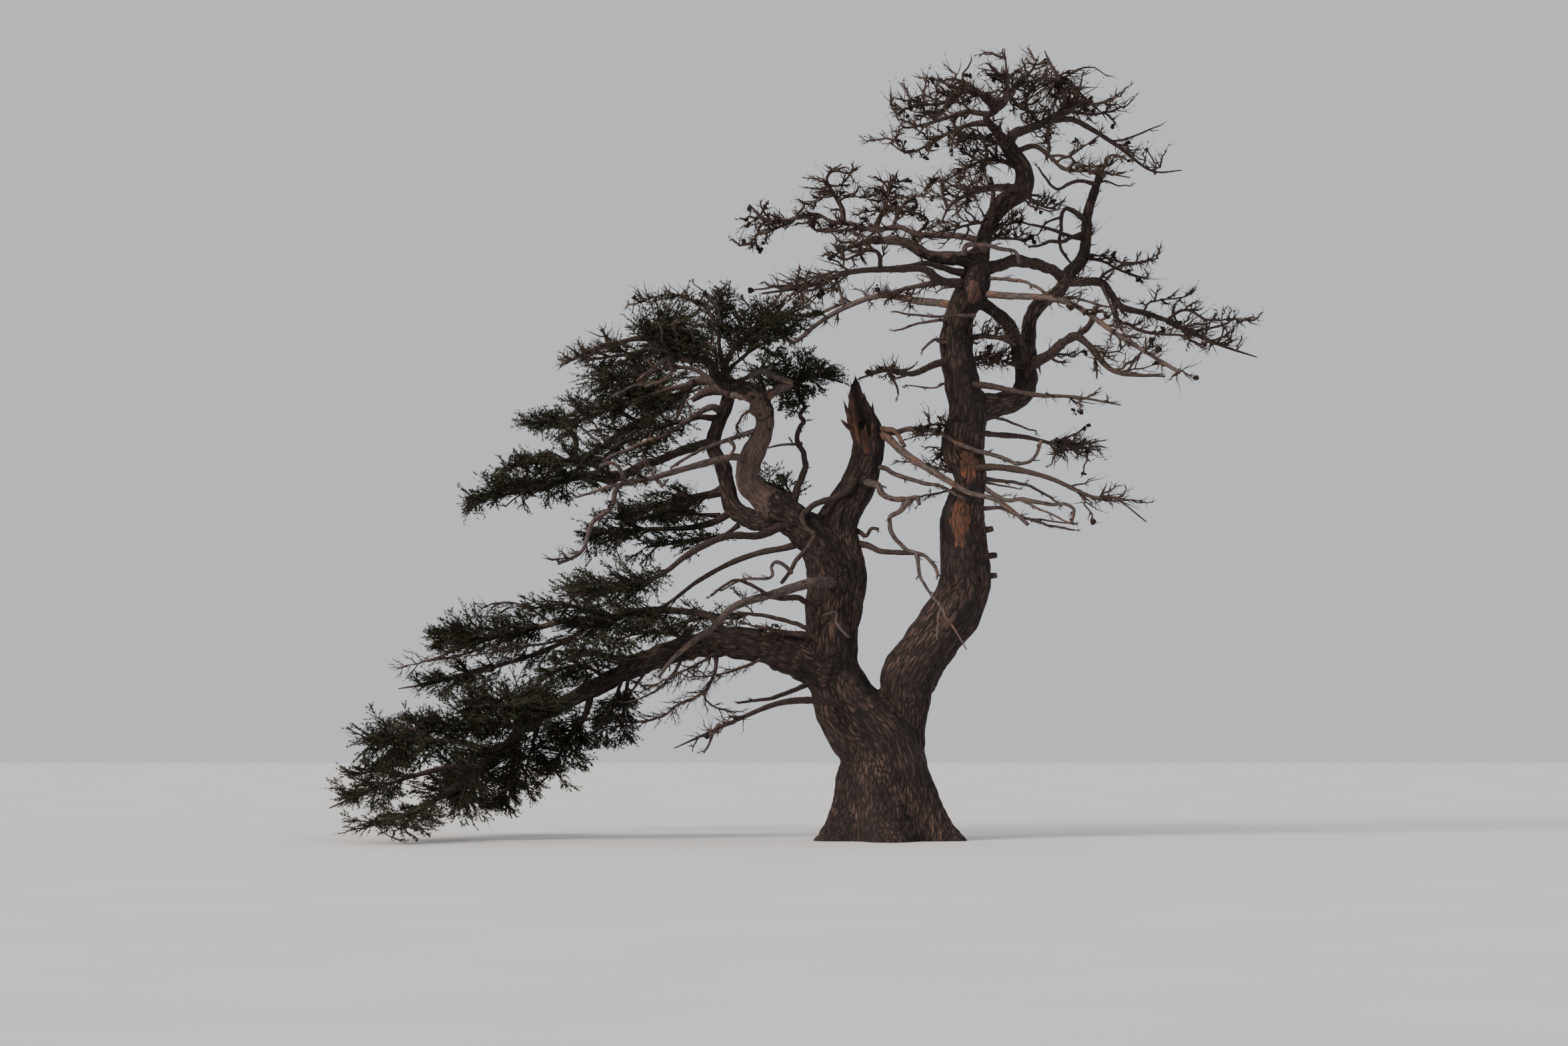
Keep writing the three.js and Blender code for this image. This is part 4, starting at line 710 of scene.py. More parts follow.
    "right_inner_low": ("bark", 6, 3, 0, 35, [(155, 898), (178, 900), (208, 896)]),
    "leader_right": ("bark", 6, 3, 90, 130, [(294, 872), (326, 864), (354, 850), (388, 838)]),
    "long_hang": ("dead", 5, 2, 96, 70, [(322, 830), (338, 790), (350, 762), (366, 746)]),
    "crown_crest": ("bark", 7, 3, -14, 40, [(182, 1117), (200, 1135), (215, 1150), (228, 1172)]),
    "crown_mid": ("bark", 7, 3, 45, 30, [(208, 1098), (212, 1115), (222, 1128), (238, 1136)]),
    "crest_tip_end": ("bark", 7, 3, -158, -184, [(-392, 742), (-420, 739), (-450, 728), (-480, 712)]),
    "crest_tip_low": ("bark", 7, 3, -135, -100, [(-340, 738), (-372, 728), (-408, 722), (-446, 716)]),
    "crest_top": ("bark", 8, 3, -78, -82, [(-244, 700), (-252, 745), (-248, 785), (-238, 808)]),
    "dark_end": ("bark", 6, 2, -80, -92, [(-556, 522), (-590, 514), (-622, 504)]),
    "upper_clump": ("bark", 6, 3, 196, 206, [(-600, 294), (-622, 302), (-646, 304), (-666, 297)]),
    "middle_stub": ("bark", 8, 5, 0, -30, [(-54, 463), (-42, 458), (-33, 452), (-24, 462), (-14, 462)]),
    "trunk_feathers": ("dead", 5, 2, 0, -25, [(105, 545), (80, 552), (50, 560), (15, 564)]),
    "trunk_feathers_low": ("dead", 4, 2, 0, -30, [(102, 522), (74, 516), (48, 510), (22, 503)]),
    "tip_pale": ("dead", 7, 4, -130, -200, [
        (-322, 724), (-334, 716), (-346, 706), (-356, 699), (-370, 690)]),
    "tip_pale_side": ("dead", 5, 3, -170, -200, [(-349, 704), (-353, 708), (-357, 713), (-358, 718)]),
    "tip_stick": ("dead", 5, 2, -132, -195, [(-322, 725), (-334, 731), (-346, 732), (-358, 734)]),
    "tip_hook": ("dead", 6, 3, -132, -150, [
        (-328, 720), (-325, 706), (-321, 699), (-330, 690), (-344, 682), (-362, 675)]),
    "tip_upright": ("dead", 6, 3, -126, -205, [
        (-310, 724), (-315, 742), (-317, 756), (-321, 768), (-314, 777)]),
    "tip_upright_far": ("dead", 5, 3, -136, -215, [(-330, 730), (-337, 744), (-338, 760), (-343, 772)]),
    "tip_curl": ("dead", 5, 3, -116, -200, [
        (-296, 720), (-290, 742), (-293, 758), (-286, 769), (-281, 781)]),
    "tip_red": ("dead", 5, 2, -144, -120, [
        (-345, 682), (-366, 680), (-386, 674), (-397, 668), (-412, 661)]),
    "pale_drop": ("bark", 4, 2, 40, 30, [(-301, 654), (-296, 642), (-292, 631)]),
    "pale_loop": ("dead", 6, 3, -58, -70, [
        (-236, 596), (-229, 585), (-234, 574), (-246, 567), (-255, 560)]),
    "drooping_knob": ("dead", 6, 4, -108, -116, [(-347, 539), (-341, 532), (-335, 526), (-331, 535)]),
    "hook_fall": ("bark", 6, 2, -6, 15, [(-140, 690), (-137, 672), (-132, 655), (-135, 640)]),
    "hook_fall_near": ("bark", 5, 2, -20, -10, [(-162, 672), (-158, 658), (-152, 648)]),
    "over_bough": ("bark", 7, 3, 26, -20, [(-418, 238), (-442, 254), (-470, 258), (-502, 246)]),
    "outer_drop": ("bark", 6, 3, 60, -10, [(-690, 140), (-720, 118), (-750, 106), (-782, 98)]),
    "crown_left_top": ("bark", 7, 3, -60, -70, [(138, 1119), (128, 1132), (112, 1140), (90, 1142)]),
    "elbow_curl": ("dead", 6, 3, -66, -104, [
        (-143, 396), (-152, 406), (-166, 413), (-173, 407), (-172, 393), (-181, 388), (-218, 386),
        (-249, 369)]),
    "left_thin": ("dead", 4, 2, 0, 22, [(110, 682), (89, 681), (68, 674), (26, 678)]),
    "left_low": ("dead", 4, 2, 0, 20, [(110, 606), (77, 603), (54, 603), (26, 596)]),
    "forked_rise": ("bark", 15, 9, 48, 0, [
        (210, 706), (224, 712), (264, 742), (292, 758), (306, 772), (314, 796)]),
    "crest_riser": ("bark", 9, 4, -50, 10, [(-218, 668), (-248, 705), (-262, 735), (-290, 760)]),
    "long_inner": ("bark", 8, 4, 72, 125, [(-258, 682), (-290, 702), (-330, 704), (-376, 692)]),
    "behind_fork": ("bark", 7, 3, 0, 80, [(-128, 488), (-150, 515), (-175, 530), (-200, 538)]),
    "under_fork": ("bark", 7, 3, 46, 20, [
        (-222, 468), (-245, 453), (-290, 445), (-330, 439), (-362, 434)]),
    "behind_low": ("bark", 8, 4, 10, 95, [
        (-90, 296), (-140, 322), (-200, 335), (-262, 332), (-320, 318)]),
    "low_drop": ("bark", 6, 3, 25, 48, [(-395, 243), (-402, 215), (-412, 185), (-425, 158)]),
    "trunk_spray_high": ("bark", 7, 3, -5, -45, [(185, 1035), (160, 1048), (132, 1052), (104, 1046)]),
    "trunk_spray_low": ("bark", 7, 3, 0, 45, [(198, 1006), (168, 1018), (136, 1014), (108, 1000)]),
    "trunk_spray_left": ("bark", 6, 3, 0, -38, [(155, 925), (128, 922), (104, 914), (84, 910)]),
    "leader_fans": ("bark", 5, 2, 0, 30, [(115, 714), (150, 718), (175, 714), (192, 706)]),
    "left_fans": ("bark", 5, 2, 0, -30, [(112, 612), (84, 618), (66, 618), (46, 612)]),
    "left_fans_low": ("bark", 5, 2, 0, 25, [(112, 590), (92, 585), (80, 572), (84, 556)]),
}

# Masses of sprays: kind, how dense, thickness of the stem at its root and tip, middle, half sizes, then the
# way-points of that stem.
MASSES = {
    "crest_tip_foliage": ("needles", 1.1, (11, 2), (-312, 766, -135), (74, 52, 80), [
        (-329, 730, -135), (-360, 748, -150), (-420, 737, -165), (-478, 713, -180)]),
    "crest_foliage": ("needles", 1.3, (11, 2), (-195, 772, -70), (68, 44, 62), [
        (-246, 681, -78), (-240, 715, -80), (-208, 755, -74), (-150, 785, -60)]),
    "hook_foliage": ("needles", 1.3, (11, 2), (-134, 698, 8), (74, 38, 50), [
        (-185, 632, -36), (-178, 662, -18), (-145, 680, 0), (-100, 690, 15), (-66, 681, 25)]),
    "long_bough_foliage": ("needles", 1, (11, 2), (-372, 668, 165), (108, 52, 80), [
        (-356, 629, 130), (-376, 658, 140), (-405, 685, 150), (-442, 705, 160)]),
    "long_bough_tip_foliage": ("needles", 1, (11, 2), (-505, 626, 203), (54, 33, 58), [
        (-470, 563, 190), (-466, 594, 194), (-482, 616, 200), (-520, 621, 207), (-556, 618, 215)]),
    "dark_bough_foliage": ("needles", 1.2, (11, 2), (-524, 537, -62), (94, 40, 78), [
        (-411, 534, -25), (-450, 540, -40), (-540, 520, -70), (-625, 502, -90)]),
    "back_fork_foliage": ("needles", 1.5, (11, 2), (-340, 492, 160), (74, 28, 66), [
        (-240, 530, 60), (-262, 516, 95), (-322, 502, 140), (-405, 482, 185)]),
    "inner_bough_foliage": ("needles", 1.4, (11, 2), (-416, 455, 75), (54, 34, 50), [
        (-229, 490, 48), (-258, 473, 46), (-296, 464, 52), (-382, 461, 70), (-440, 452, 85)]),
    "under_bough_foliage": ("needles", 1.3, (14, 3), (-420, 384, -180), (80, 34, 66), [
        (-145, 475, -18), (-189, 453, -48), (-240, 451, -80), (-296, 425, -115), (-339, 393, -145),
        (-400, 372, -175), (-490, 362, -210)]),
    "fork_foliage": ("needles", 1.25, (11, 2), (-412, 326, 80), (92, 37, 62), [
        (-116, 446, -10), (-152, 434, 12), (-189, 427, 25), (-232, 412, 35), (-283, 384, 45),
        (-339, 345, 55), (-460, 318, 70)]),
    "low_upper_foliage": ("needles", 1.1, (11, 2), (-590, 308, 198), (104, 46, 74), [
        (-440, 320, 164), (-470, 326, 172), (-524, 314, 186), (-600, 296, 200), (-688, 264, 215)]),
    "low_upper_tip_foliage": ("needles", 1.6, (11, 2), (-656, 238, 250), (60, 30, 56), [
        (-588, 256, 230), (-631, 245, 244), (-680, 232, 255), (-728, 224, 265)]),
    "low_middle_foliage": ("needles", 1.4, (11, 2), (-548, 204, -46), (112, 46, 66), [
        (-530, 172, 38), (-546, 190, 6), (-576, 198, -26), (-640, 188, -52)]),
    "low_hanging_foliage": ("needles", 1.1, (11, 2), (-488, 140, 62), (62, 68, 62), [
        (-440, 222, 29), (-450, 185, 42), (-480, 140, 58), (-505, 95, 66), (-522, 78, 68)]),
    "low_outer_foliage": ("needles", 1.15, (11, 2), (-730, 142, 80), (74, 58, 62), [
        (-588, 125, 25), (-622, 142, 48), (-670, 148, 68), (-786, 150, 92)]),
    "low_far_tip_foliage": ("needles", 1, (11, 2), (-768, 70, -42), (64, 36, 58), [
        (-613, 102, 10), (-645, 108, -8), (-700, 96, -28), (-766, 74, -45), (-829, 47, -60)]),
    "low_end_foliage": ("needles", 1, (11, 2), (-722, 32, -100), (82, 29, 76), [
        (-687, 50, -30), (-706, 40, -52), (-735, 30, -86), (-770, 22, -120)]),
    "low_inner_foliage": ("needles", 1.1, (11, 2), (-620, 92, 92), (84, 74, 62), [
        (-600, 114, 18), (-612, 104, 50), (-622, 92, 82), (-636, 66, 116)]),
    "crown_left_twigs": ("bare", 1.0, (9, 2), (92, 1122, -95), (84, 40, 66), [
        (168, 1104, -35), (150, 1116, -55), (110, 1122, -85), (80, 1104, -105), (14, 1112, -140)]),
    "crown_top_twigs": ("bare", 0.95, (9, 2), (162, 1149, -12), (52, 40, 44), [
        (161, 1093, -32), (180, 1108, -18), (182, 1140, -14), (178, 1189, -10)]),
    "crown_right_twigs": ("bare", 0.72, (9, 2), (272, 1107, 90), (96, 46, 66), [
        (262, 1133, 75), (256, 1150, 80), (246, 1168, 88), (239, 1185, 95)]),
    "crown_lower_left_twigs": ("bare", 1.1, (9, 2), (64, 1052, 28), (80, 32, 56), [
        (155, 1075, -26), (128, 1073, -14), (90, 1058, 6), (60, 1040, 24), (30, 1030, 35),
        (4, 1046, 42)]),
    "crown_outer_twigs": ("bare", 0.85, (11, 2), (380, 1040, 165), (50, 31, 60), [
        (245, 1080, 50), (280, 1080, 78), (303, 1069, 98), (348, 1040, 130), (400, 1002, 165),
        (444, 1003, 195)]),
    "crown_side_twigs": ("bare", 1, (9, 2), (312, 1012, -75), (56, 28, 54), [
        (192, 1030, 0), (222, 1040, -16), (242, 1028, -28), (266, 1006, -45), (315, 1001, -75),
        (366, 992, -110)]),
    "crown_hooked_twigs": ("bare", 1, (14, 3), (108, 974, -70), (66, 46, 54), [
        (200, 974, 0), (176, 977, -30), (137, 972, -58), (96, 950, -86), (81, 922, -98)]),
    "far_bough_dense_twigs": ("bare", 2.1, (9, 2), (4, 967, 120), (48, 34, 50), [
        (-19, 912, 115), (-8, 936, 118), (0, 955, 120), (6, 988, 126)]),
    "far_bough_upright_twigs": ("bare", 1, (9, 2), (-90, 978, 144), (50, 38, 48), [
        (-66, 924, 150), (-67, 944, 150), (-80, 968, 146), (-90, 992, 140), (-68, 1013, 134)]),
    "far_bough_tip_twigs": ("bare", 1, (9, 2), (-194, 922, 222), (36, 40, 42), [
        (-170, 923, 215), (-186, 930, 222), (-207, 951, 230)]),
    "big_bough_twigs": ("bare", 1, (9, 2), (-56, 884, -102), (42, 32, 44), [
        (-21, 897, -82), (-44, 890, -95), (-68, 880, -110), (-88, 870, -120)]),
    "level_bough_twigs": ("bare", 1.2, (15, 3), (-120, 824, -168), (70, 43, 56), [
        (125, 830, 0), (80, 836, -38), (58, 852, -62), (9, 853, -92), (-58, 848, -132),
        (-120, 827, -168), (-188, 816, -206)]),
    "east_left_twigs": ("bare", 1, (13, 3), (-4, 702, -74), (42, 28, 42), [
        (108, 717, 0), (74, 710, -20), (37, 695, -45), (0, 700, -72), (-42, 688, -98)]),
    "right_long_tip_twigs": ("bare", 0.70, (9, 2), (480, 764, 152), (78, 50, 62), [
        (421, 775, 130), (446, 762, 140), (500, 738, 158), (554, 720, 175)]),
    "right_forked_twigs": ("bare", 0.7, (16, 3), (348, 720, -25), (72, 35, 60), [
        (208, 708, 50), (244, 724, 34), (280, 752, 12), (299, 741, 0), (338, 700, -35),
        (416, 691, -95)]),
    "right_pale_twigs": ("bare", 0.5, (11, 2), (300, 655, -170), (60, 24, 50), [
        (118, 679, 0), (150, 677, -38), (225, 663, -105), (283, 660, -155), (349, 648, -210)]),
    "right_back_twigs": ("bare", 2.1, (11, 2), (282, 580, 190), (56, 34, 58), [
        (122, 610, 0), (156, 604, 48), (205, 600, 95), (263, 588, 165), (327, 595, 235)]),
    "right_drooping_twigs": ("bare", 0.55, (12, 2), (332, 508, -205), (62, 32, 56), [
        (114, 553, 0), (171, 554, -48), (240, 539, -115), (307, 510, -180), (339, 508, -210),
        (386, 473, -250)]),
    "low_front_twigs": ("bare", 0.4, (13, 2), (-262, 160, -160), (60, 30, 50), [
        (-62, 200, -20), (-118, 207, -72), (-164, 202, -100), (-235, 173, -140), (-317, 136, -195)]),
}

# Places where the bark is gone (one is partly painted highlight): (across, up), half sizes, how orange the
# wood under it is.
STRIPPED = [
    ((107, 472), (16, 42), 1.0),
    ((120, 556), (15, 30), 0.9),
    # Partly painted highlight: a knot on the trunk, whose warm lit bulge is drawn as bare orange wood.
    ((128, 812), (13, 20), 0.60),
    ((-84, 322), (5, 34), 0.55),
    ((-205, 565), (60, 112), 0.30),
    ((-50, 648), (20, 46), 0.60),
    ((70, 885), (110, 24), 0.30),
]

# Splinters of the broken top: (across, up, depth) of the foot and of the tip.
SPLINTERS = [
    ((-36, 585, 3), (-49, 695, 1)), ((-38, 585, 0), (-55, 686, -2)), ((-34, 585, 4), (-45, 689, 3)),
    ((-32, 585, 5), (-41, 680, 4)), ((-38, 585, 4), (-58, 670, 4)), ((-30, 585, 5), (-37, 671, 5)),
    ((-28, 585, 5), (-33, 662, 4)), ((-26, 585, 3), (-29, 654, 1)), ((-20, 585, -2), (-22, 653, -5)),
    ((-18, 585, 0), (-17, 637, -3)), ((-15, 580, -2), (-12, 622, -5)), ((-40, 585, -2), (-66, 657, -6)),
    ((-40, 585, -5), (-61, 646, -11)), ((-46, 604, -8), (-70, 627, -14)),
    ((-38, 580, -8), (-53, 641, -17)), ((-36, 578, -9), (-47, 622, -19)),
    ((-30, 575, -10), (-40, 615, -20)), ((-26, 575, -10), (-32, 620, -19)),
    ((-22, 575, -9), (-25, 628, -16)), ((-18, 575, -8), (-18, 617, -15)), ((-43, 580, 0), (-58, 634, -2)),
]


def place(points):
    """Where points seen from the standpoint really are, in metres."""
    points = np.asarray(points, float)
    behind = points[:, 2] * DEPTH_SPREAD
    spread = (STANDPOINT_DISTANCE + behind) / STANDPOINT_DISTANCE
    x = STANDPOINT_ACROSS + (points[:, 0] - STANDPOINT_ACROSS) * spread
    z = STANDPOINT_UP + (points[:, 1] - STANDPOINT_UP) * spread
    return np.column_stack([x, behind, z]) * CM


def lesser_line(near, far, points):
    """Way-points in metres of a lesser limb, whose depth runs evenly from near to far."""
    return place(np.column_stack([points, np.linspace(near, far, len(points))]))


def unit(vectors):
    """Vectors of length one."""
    return vectors / np.maximum(np.linalg.norm(vectors, axis=-1, keepdims=True), TINY)


def lattice(cells, seed):
    """A number from 0 to 1 for each whole-numbered cell, the same on every run."""
    x, y, z = (cells[..., axis] * CELL_SCRAMBLE[axis] for axis in range(3))
    mixed = x ^ y ^ z ^ seed * SEED_SCRAMBLE
    mixed = (mixed ^ (mixed >> 13)) & LOW_31_BITS
    mixed = (mixed * LAST_SCRAMBLE) & LOW_31_BITS
    return ((mixed ^ (mixed >> 16)) & LOW_16_BITS) / LOW_16_BITS


def noise(points, size, seed):
    """Smooth noise from 0 to 1 whose bumps are about size across."""
    scaled = points / size
    base = np.floor(scaled)
    local = scaled - base
    local = local * local * (3 - 2 * local)
    base = base.astype(np.int64)
    total = np.zeros(points.shape[:-1])
    for corner in itertools.product((0, 1), repeat=3):
        weight = np.prod(np.where(corner, local, 1 - local), axis=-1)
        total += weight * lattice(base + np.array(corner), seed)
    return total


def uneven(points, layers, seed, level=0):
    """A level with layers of noise round it, each layer with the next seed."""
    for i, (depth, size) in enumerate(layers):
        level = level + depth * (noise(points, size, seed + i) - 0.5)
    return level


def ridged(points, size, seed):
    """Noise with sharp creases: 0 in a crease and 1 between creases."""
    return np.minimum(1, CREASE_STEEPNESS * np.abs(2 * noise(points, size, seed) - 1))


def catmull_rom(points):
    """A centripetal curve through the points, and the place of each of its points in the list."""
    ends = np.vstack([2 * points[0] - points[1], points, 2 * points[-1] - points[-2]])
    share = np.linspace(0, 1, CURVE_STEPS, endpoint=False)[:, None]
    pieces = []
    for i in range(len(points) - 1):
        before, start, end, after = ends[i:i + 4]
        gaps = [np.linalg.norm(b - a) ** 0.5 for a, b in ((before, start), (start, end), (end, after))]
        leave = (start - before) / gaps[0] - (end - before) / (gaps[0] + gaps[1]) + (end - start) / gaps[1]
        reach = (end - start) / gaps[1] - (after - start) / (gaps[1] + gaps[2]) + (after - end) / gaps[2]
        leave = leave * gaps[1]
        reach = reach * gaps[1]
        square = 3 * (end - start) - 2 * leave - reach
        cube = 2 * (start - end) + leave + reach
        pieces.append(start + leave * share + square * share**2 + cube * share**3)
    curve = np.vstack(pieces + [points[-1:]])
    return curve, np.linspace(0, len(points) - 1, len(curve))


class Course:
    """The centre line of a limb at even spacing, with a frame carried along it without twist."""

    def __init__(self, way_points, spacing):
        curve, listed = catmull_rom(way_points)
        travelled = np.concatenate([[0], np.cumsum(np.linalg.norm(np.diff(curve, axis=0), axis=1))])
        count = max(int(travelled[-1] / spacing), LEAST_STRETCHES) + 1
        self.along = np.linspace(0, travelled[-1], count)
        self.share = self.along / travelled[-1]
        self.centre = np.column_stack([np.interp(self.along, travelled, curve[:, i]) for i in range(3)])
        self.listed = np.interp(self.along, travelled, listed)
        self.tangent = unit(np.gradient(self.centre, axis=0))
        self.normal = np.zeros_like(self.centre)
        side = np.array([0.0, -1.0, 0.0])
        for i, tangent in enumerate(self.tangent):
            side = unit(side - tangent * side.dot(tangent))
            self.normal[i] = side
        self.binormal = np.cross(self.tangent, self.normal)


def tapered(course, root, tip, taper=1.0):
    """Radius in metres along a limb that is root and tip centimetres thick."""
    return (tip + (root - tip) * (1 - course.share) ** taper) * CM / 2


def trunk_radius(name, course):
    """Radius of a trunk round and along its course, lobed and widening at its foot."""
    way_points = TRUNKS[name]
    thick = np.interp(course.listed, range(len(way_points)), [point[3] for point in way_points])
    height = np.maximum(course.centre[:, 2], 0)
    flare = 1 + FLARE * np.exp(-height / FLARE_HEIGHT)
    angle = np.linspace(0, 2 * math.pi, TRUNK_SIDES, endpoint=False)
    lobes = np.cos(TRUNK_LOBES[name] * angle[None, :] + height[:, None] / LOBE_TURN)
    foot = 1 + FOOT_LOBES * np.exp(-height / FOOT_LOBES_HEIGHT)[:, None]
    radius = (thick * CM / 2 * flare)[:, None] * (1 + LOBE_DEPTH * foot * flare[:, None] * lobes)
    if name == "west_trunk":
        radius = radius * unbroken(height, angle)
    return radius


def unbroken(height, angle):
    """The share of the radius that is left round and along the broken, hollow top of the west trunk."""
    rim = np.full(len(angle), RIM_HEIGHT)
    for bearing, width, rise in TONGUES:
        off = (np.degrees(angle) - bearing + 180) % 360 - 180
        rim += rise * np.exp(-((off / width) ** 2))
    circle = np.column_stack([np.cos(angle), np.sin(angle), 0 * angle])
    rim = uneven(circle, RIM_UNEVEN, RIM_SEED, rim)
    return np.clip((rim[None, :] - height[:, None]) / RIM_THINNING, RIM_LEFT, 1)


def ring_faces(rings, sides):
    """Quads between neighbouring rings of one tube."""
    ring = np.arange(rings - 1)[:, None] * sides
    side = np.arange(sides)[None, :]
    turned = (side + 1) % sides
    corners = [ring + side, ring + turned, ring + sides + turned, ring + sides + side]
    return np.stack(corners, -1).reshape(-1, 4)


class Skin:
    """Tubes gathered into one mesh. Each corner keeps its place in the grain of the wood."""

    def __init__(self):
        self.corners = []
        self.faces = []
        self.caps = []
        self.grain = []
        self.count = 0

    def tube(self, course, radius, sides, seed):
        """Adds a tube with closed ends along a course; the radius may differ round it."""
        rings = len(course.centre)
        angle = np.linspace(0, 2 * math.pi, sides, endpoint=False)
        radius = np.broadcast_to(radius if radius.ndim == 2 else radius[:, None], (rings, sides))
        outward = (np.cos(angle)[None, :, None] * course.normal[:, None]
                   + np.sin(angle)[None, :, None] * course.binormal[:, None])
        corners = course.centre[:, None] + radius[..., None] * outward
        length = np.repeat(course.along[:, None] + GRAIN_APART * seed, sides, axis=1)
        grain = np.stack([radius * np.cos(angle), radius * np.sin(angle), length], -1)
        self.corners += [corners.reshape(-1, 3), course.centre[:1], course.centre[-1:]]
        self.grain += [grain.reshape(-1, 3), grain[0, :1], grain[-1, :1]]
        self.faces.append(ring_faces(rings, sides) + self.count)
        side = np.arange(sides)
        turned = (side + 1) % sides
        root = self.count + rings * sides
        last = root - sides
        self.caps.append(np.stack([turned + self.count, side + self.count, np.full(sides, root)], -1))
        self.caps.append(np.stack([side + last, turned + last, np.full(sides, root + 1)], -1))
        self.count = root + 2

    def mesh(self, name, looks):
        """The gathered tubes as one piece."""
        faces = [np.vstack(self.faces), np.vstack(self.caps)]
        return add_mesh(name, np.vstack(self.corners), faces, looks, grain=np.vstack(self.grain))


def add_mesh(name, corners, face_groups, looks, grain=None, fields=None, deal=None, smooth=True):
    """An object from arrays of corners and faces. deal picks one of the looks for each face."""
    mesh = bpy.data.meshes.new(name)
    sizes = np.concatenate([np.full(len(faces), faces.shape[1]) for faces in face_groups])
    loops = np.concatenate([faces.ravel() for faces in face_groups]).astype(np.int32)
    mesh.vertices.add(len(corners))
    mesh.vertices.foreach_set("co", corners.astype(np.float32).ravel())
    mesh.loops.add(len(loops))
    mesh.loops.foreach_set("vertex_index", loops)
    mesh.polygons.add(len(sizes))
    starts = np.concatenate([[0], np.cumsum(sizes)[:-1]]).astype(np.int32)
    mesh.polygons.foreach_set("loop_start", starts)
    for look in looks:
        mesh.materials.append(look)
    if deal is not None:
        mesh.polygons.foreach_set("material_index", deal.astype(np.int32))
    if grain is not None:
        field = mesh.attributes.new("grain", "FLOAT_VECTOR", "POINT")
        field.data.foreach_set("vector", grain.astype(np.float32).ravel())
    for title, values in (fields or {}).items():
        field = mesh.attributes.new(title, "FLOAT", "POINT")
        field.data.foreach_set("value", values.astype(np.float32))
    mesh.update(calc_edges=True)
    mesh.polygons.foreach_set("use_smooth", np.full(len(sizes), smooth))
    piece = bpy.data.objects.new(name, mesh)
    bpy.context.scene.collection.objects.link(piece)
    return piece


def belongs(piece, nodes=()):
    """The piece rides on the tree's one body and stands for those nodes, which are hidden."""
    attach(piece, "root")
    if nodes:
        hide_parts(*nodes)


class Shader:
    """A material and the few kinds of node that the looks below are made of."""

    def __init__(self, name, roughness):
        self.material = bpy.data.materials.new(name)
        self.material.use_nodes = True
        self.nodes = self.material.node_tree.nodes
        self.links = self.material.node_tree.links
        self.surface = self.nodes["Principled BSDF"]
        self.surface.inputs["Roughness"].default_value = roughness
        self.surface.inputs["Specular IOR Level"].default_value = SPECULAR

    def feed(self, socket, value):
        """Links a socket to another one, or sets it to a plain value."""
        if isinstance(value, bpy.types.NodeSocket):
            self.links.new(value, socket)
        else:
            socket.default_value = value

    def add(self, kind, **inputs):
        node = self.nodes.new(kind)
        for name, value in inputs.items():
            self.feed(node.inputs[name], value)
        return node

    def attribute(self, name):
        node = self.nodes.new("ShaderNodeAttribute")
        node.attribute_name = name
        return node

    def grain(self, stretch):
        """Coordinates that run with the wood, stretched along it."""
        plain = self.attribute("grain").outputs["Vector"]
        stretched = self.add("ShaderNodeMapping", Vector=plain, Scale=(1, 1, 1 / stretch))
        return stretched.outputs["Vector"]

    def field(self, name):
        """A value that each corner carries."""
        return self.attribute(name).outputs["Fac"]

    def objects(self):
        """Coordinates in metres that don't follow the wood."""
        return self.nodes.new("ShaderNodeTexCoord").outputs["Object"]

    def noise(self, vector, scale, detail):
        return self.add("ShaderNodeTexNoise", Vector=vector, Scale=scale, Detail=detail).outputs["Fac"]

    def cracks(self, vector, scale):
        """How far it is to the nearest edge of a cell."""
        node = self.add("ShaderNodeTexVoronoi", Vector=vector, Scale=scale)
        node.feature = "DISTANCE_TO_EDGE"
        return node.outputs["Distance"]

    def ramp(self, value, stops):
        """A colour for each value, between stops of (value, colour)."""
        node = self.add("ShaderNodeValToRGB", Fac=value)
        for i, (position, colour) in enumerate(stops):
            element = node.color_ramp.elements[i] if i < 2 else node.color_ramp.elements.new(position)
            element.position = position
            element.color = (*colour, 1)
        return node.outputs["Color"]

    def mix(self, share, first, second):
        """A mixture of two colours, each from a socket or plain."""
        node = self.nodes.new("ShaderNodeMix")
        node.data_type = "RGBA"
        self.feed(node.inputs["Factor"], share)
        for index, colour in zip(MIX_COLOURS, (first, second)):
            self.feed(node.inputs[index], (*colour, 1) if isinstance(colour, tuple) else colour)
        return node.outputs[MIX_RESULT]

    def between(self, value, low, high, first, second):
        """The first colour up to low, the second from high on, and a mixture between these."""
        return self.mix(self.ramp(value, [(low, BLACK), (high, WHITE)]), first, second)

    def number(self, kind, first, second):
        node = self.nodes.new("ShaderNodeMath")
        node.operation = kind
        self.feed(node.inputs[0], first)
        self.feed(node.inputs[1], second)
        return node.outputs["Value"]

    def bump(self, height, distance):
        node = self.add("ShaderNodeBump", Height=height, Distance=distance, Strength=1.0)
        self.links.new(node.outputs["Normal"], self.surface.inputs["Normal"])

    def colour(self, socket):
        self.links.new(socket, self.surface.inputs["Base Color"])


def plates(shader, rough, gaps):
    """Plates of bark, tan in some places and dark in others, with dark fissures between them."""
    patches = shader.noise(shader.objects(), scale=1.8, detail=3.0)
    face = shader.ramp(rough, [(0.36, DARK_BARK), (0.52, MIDDLE_BARK), (0.72, TAN_BARK)])
    dark_face = shader.ramp(rough, [(0.38, DARK_BARK), (0.72, MIDDLE_BARK)])
    plate = shader.between(patches, 0.44, 0.60, dark_face, face)
    return shader.between(gaps, 0.02, 0.13, DARK_BARK, plate)


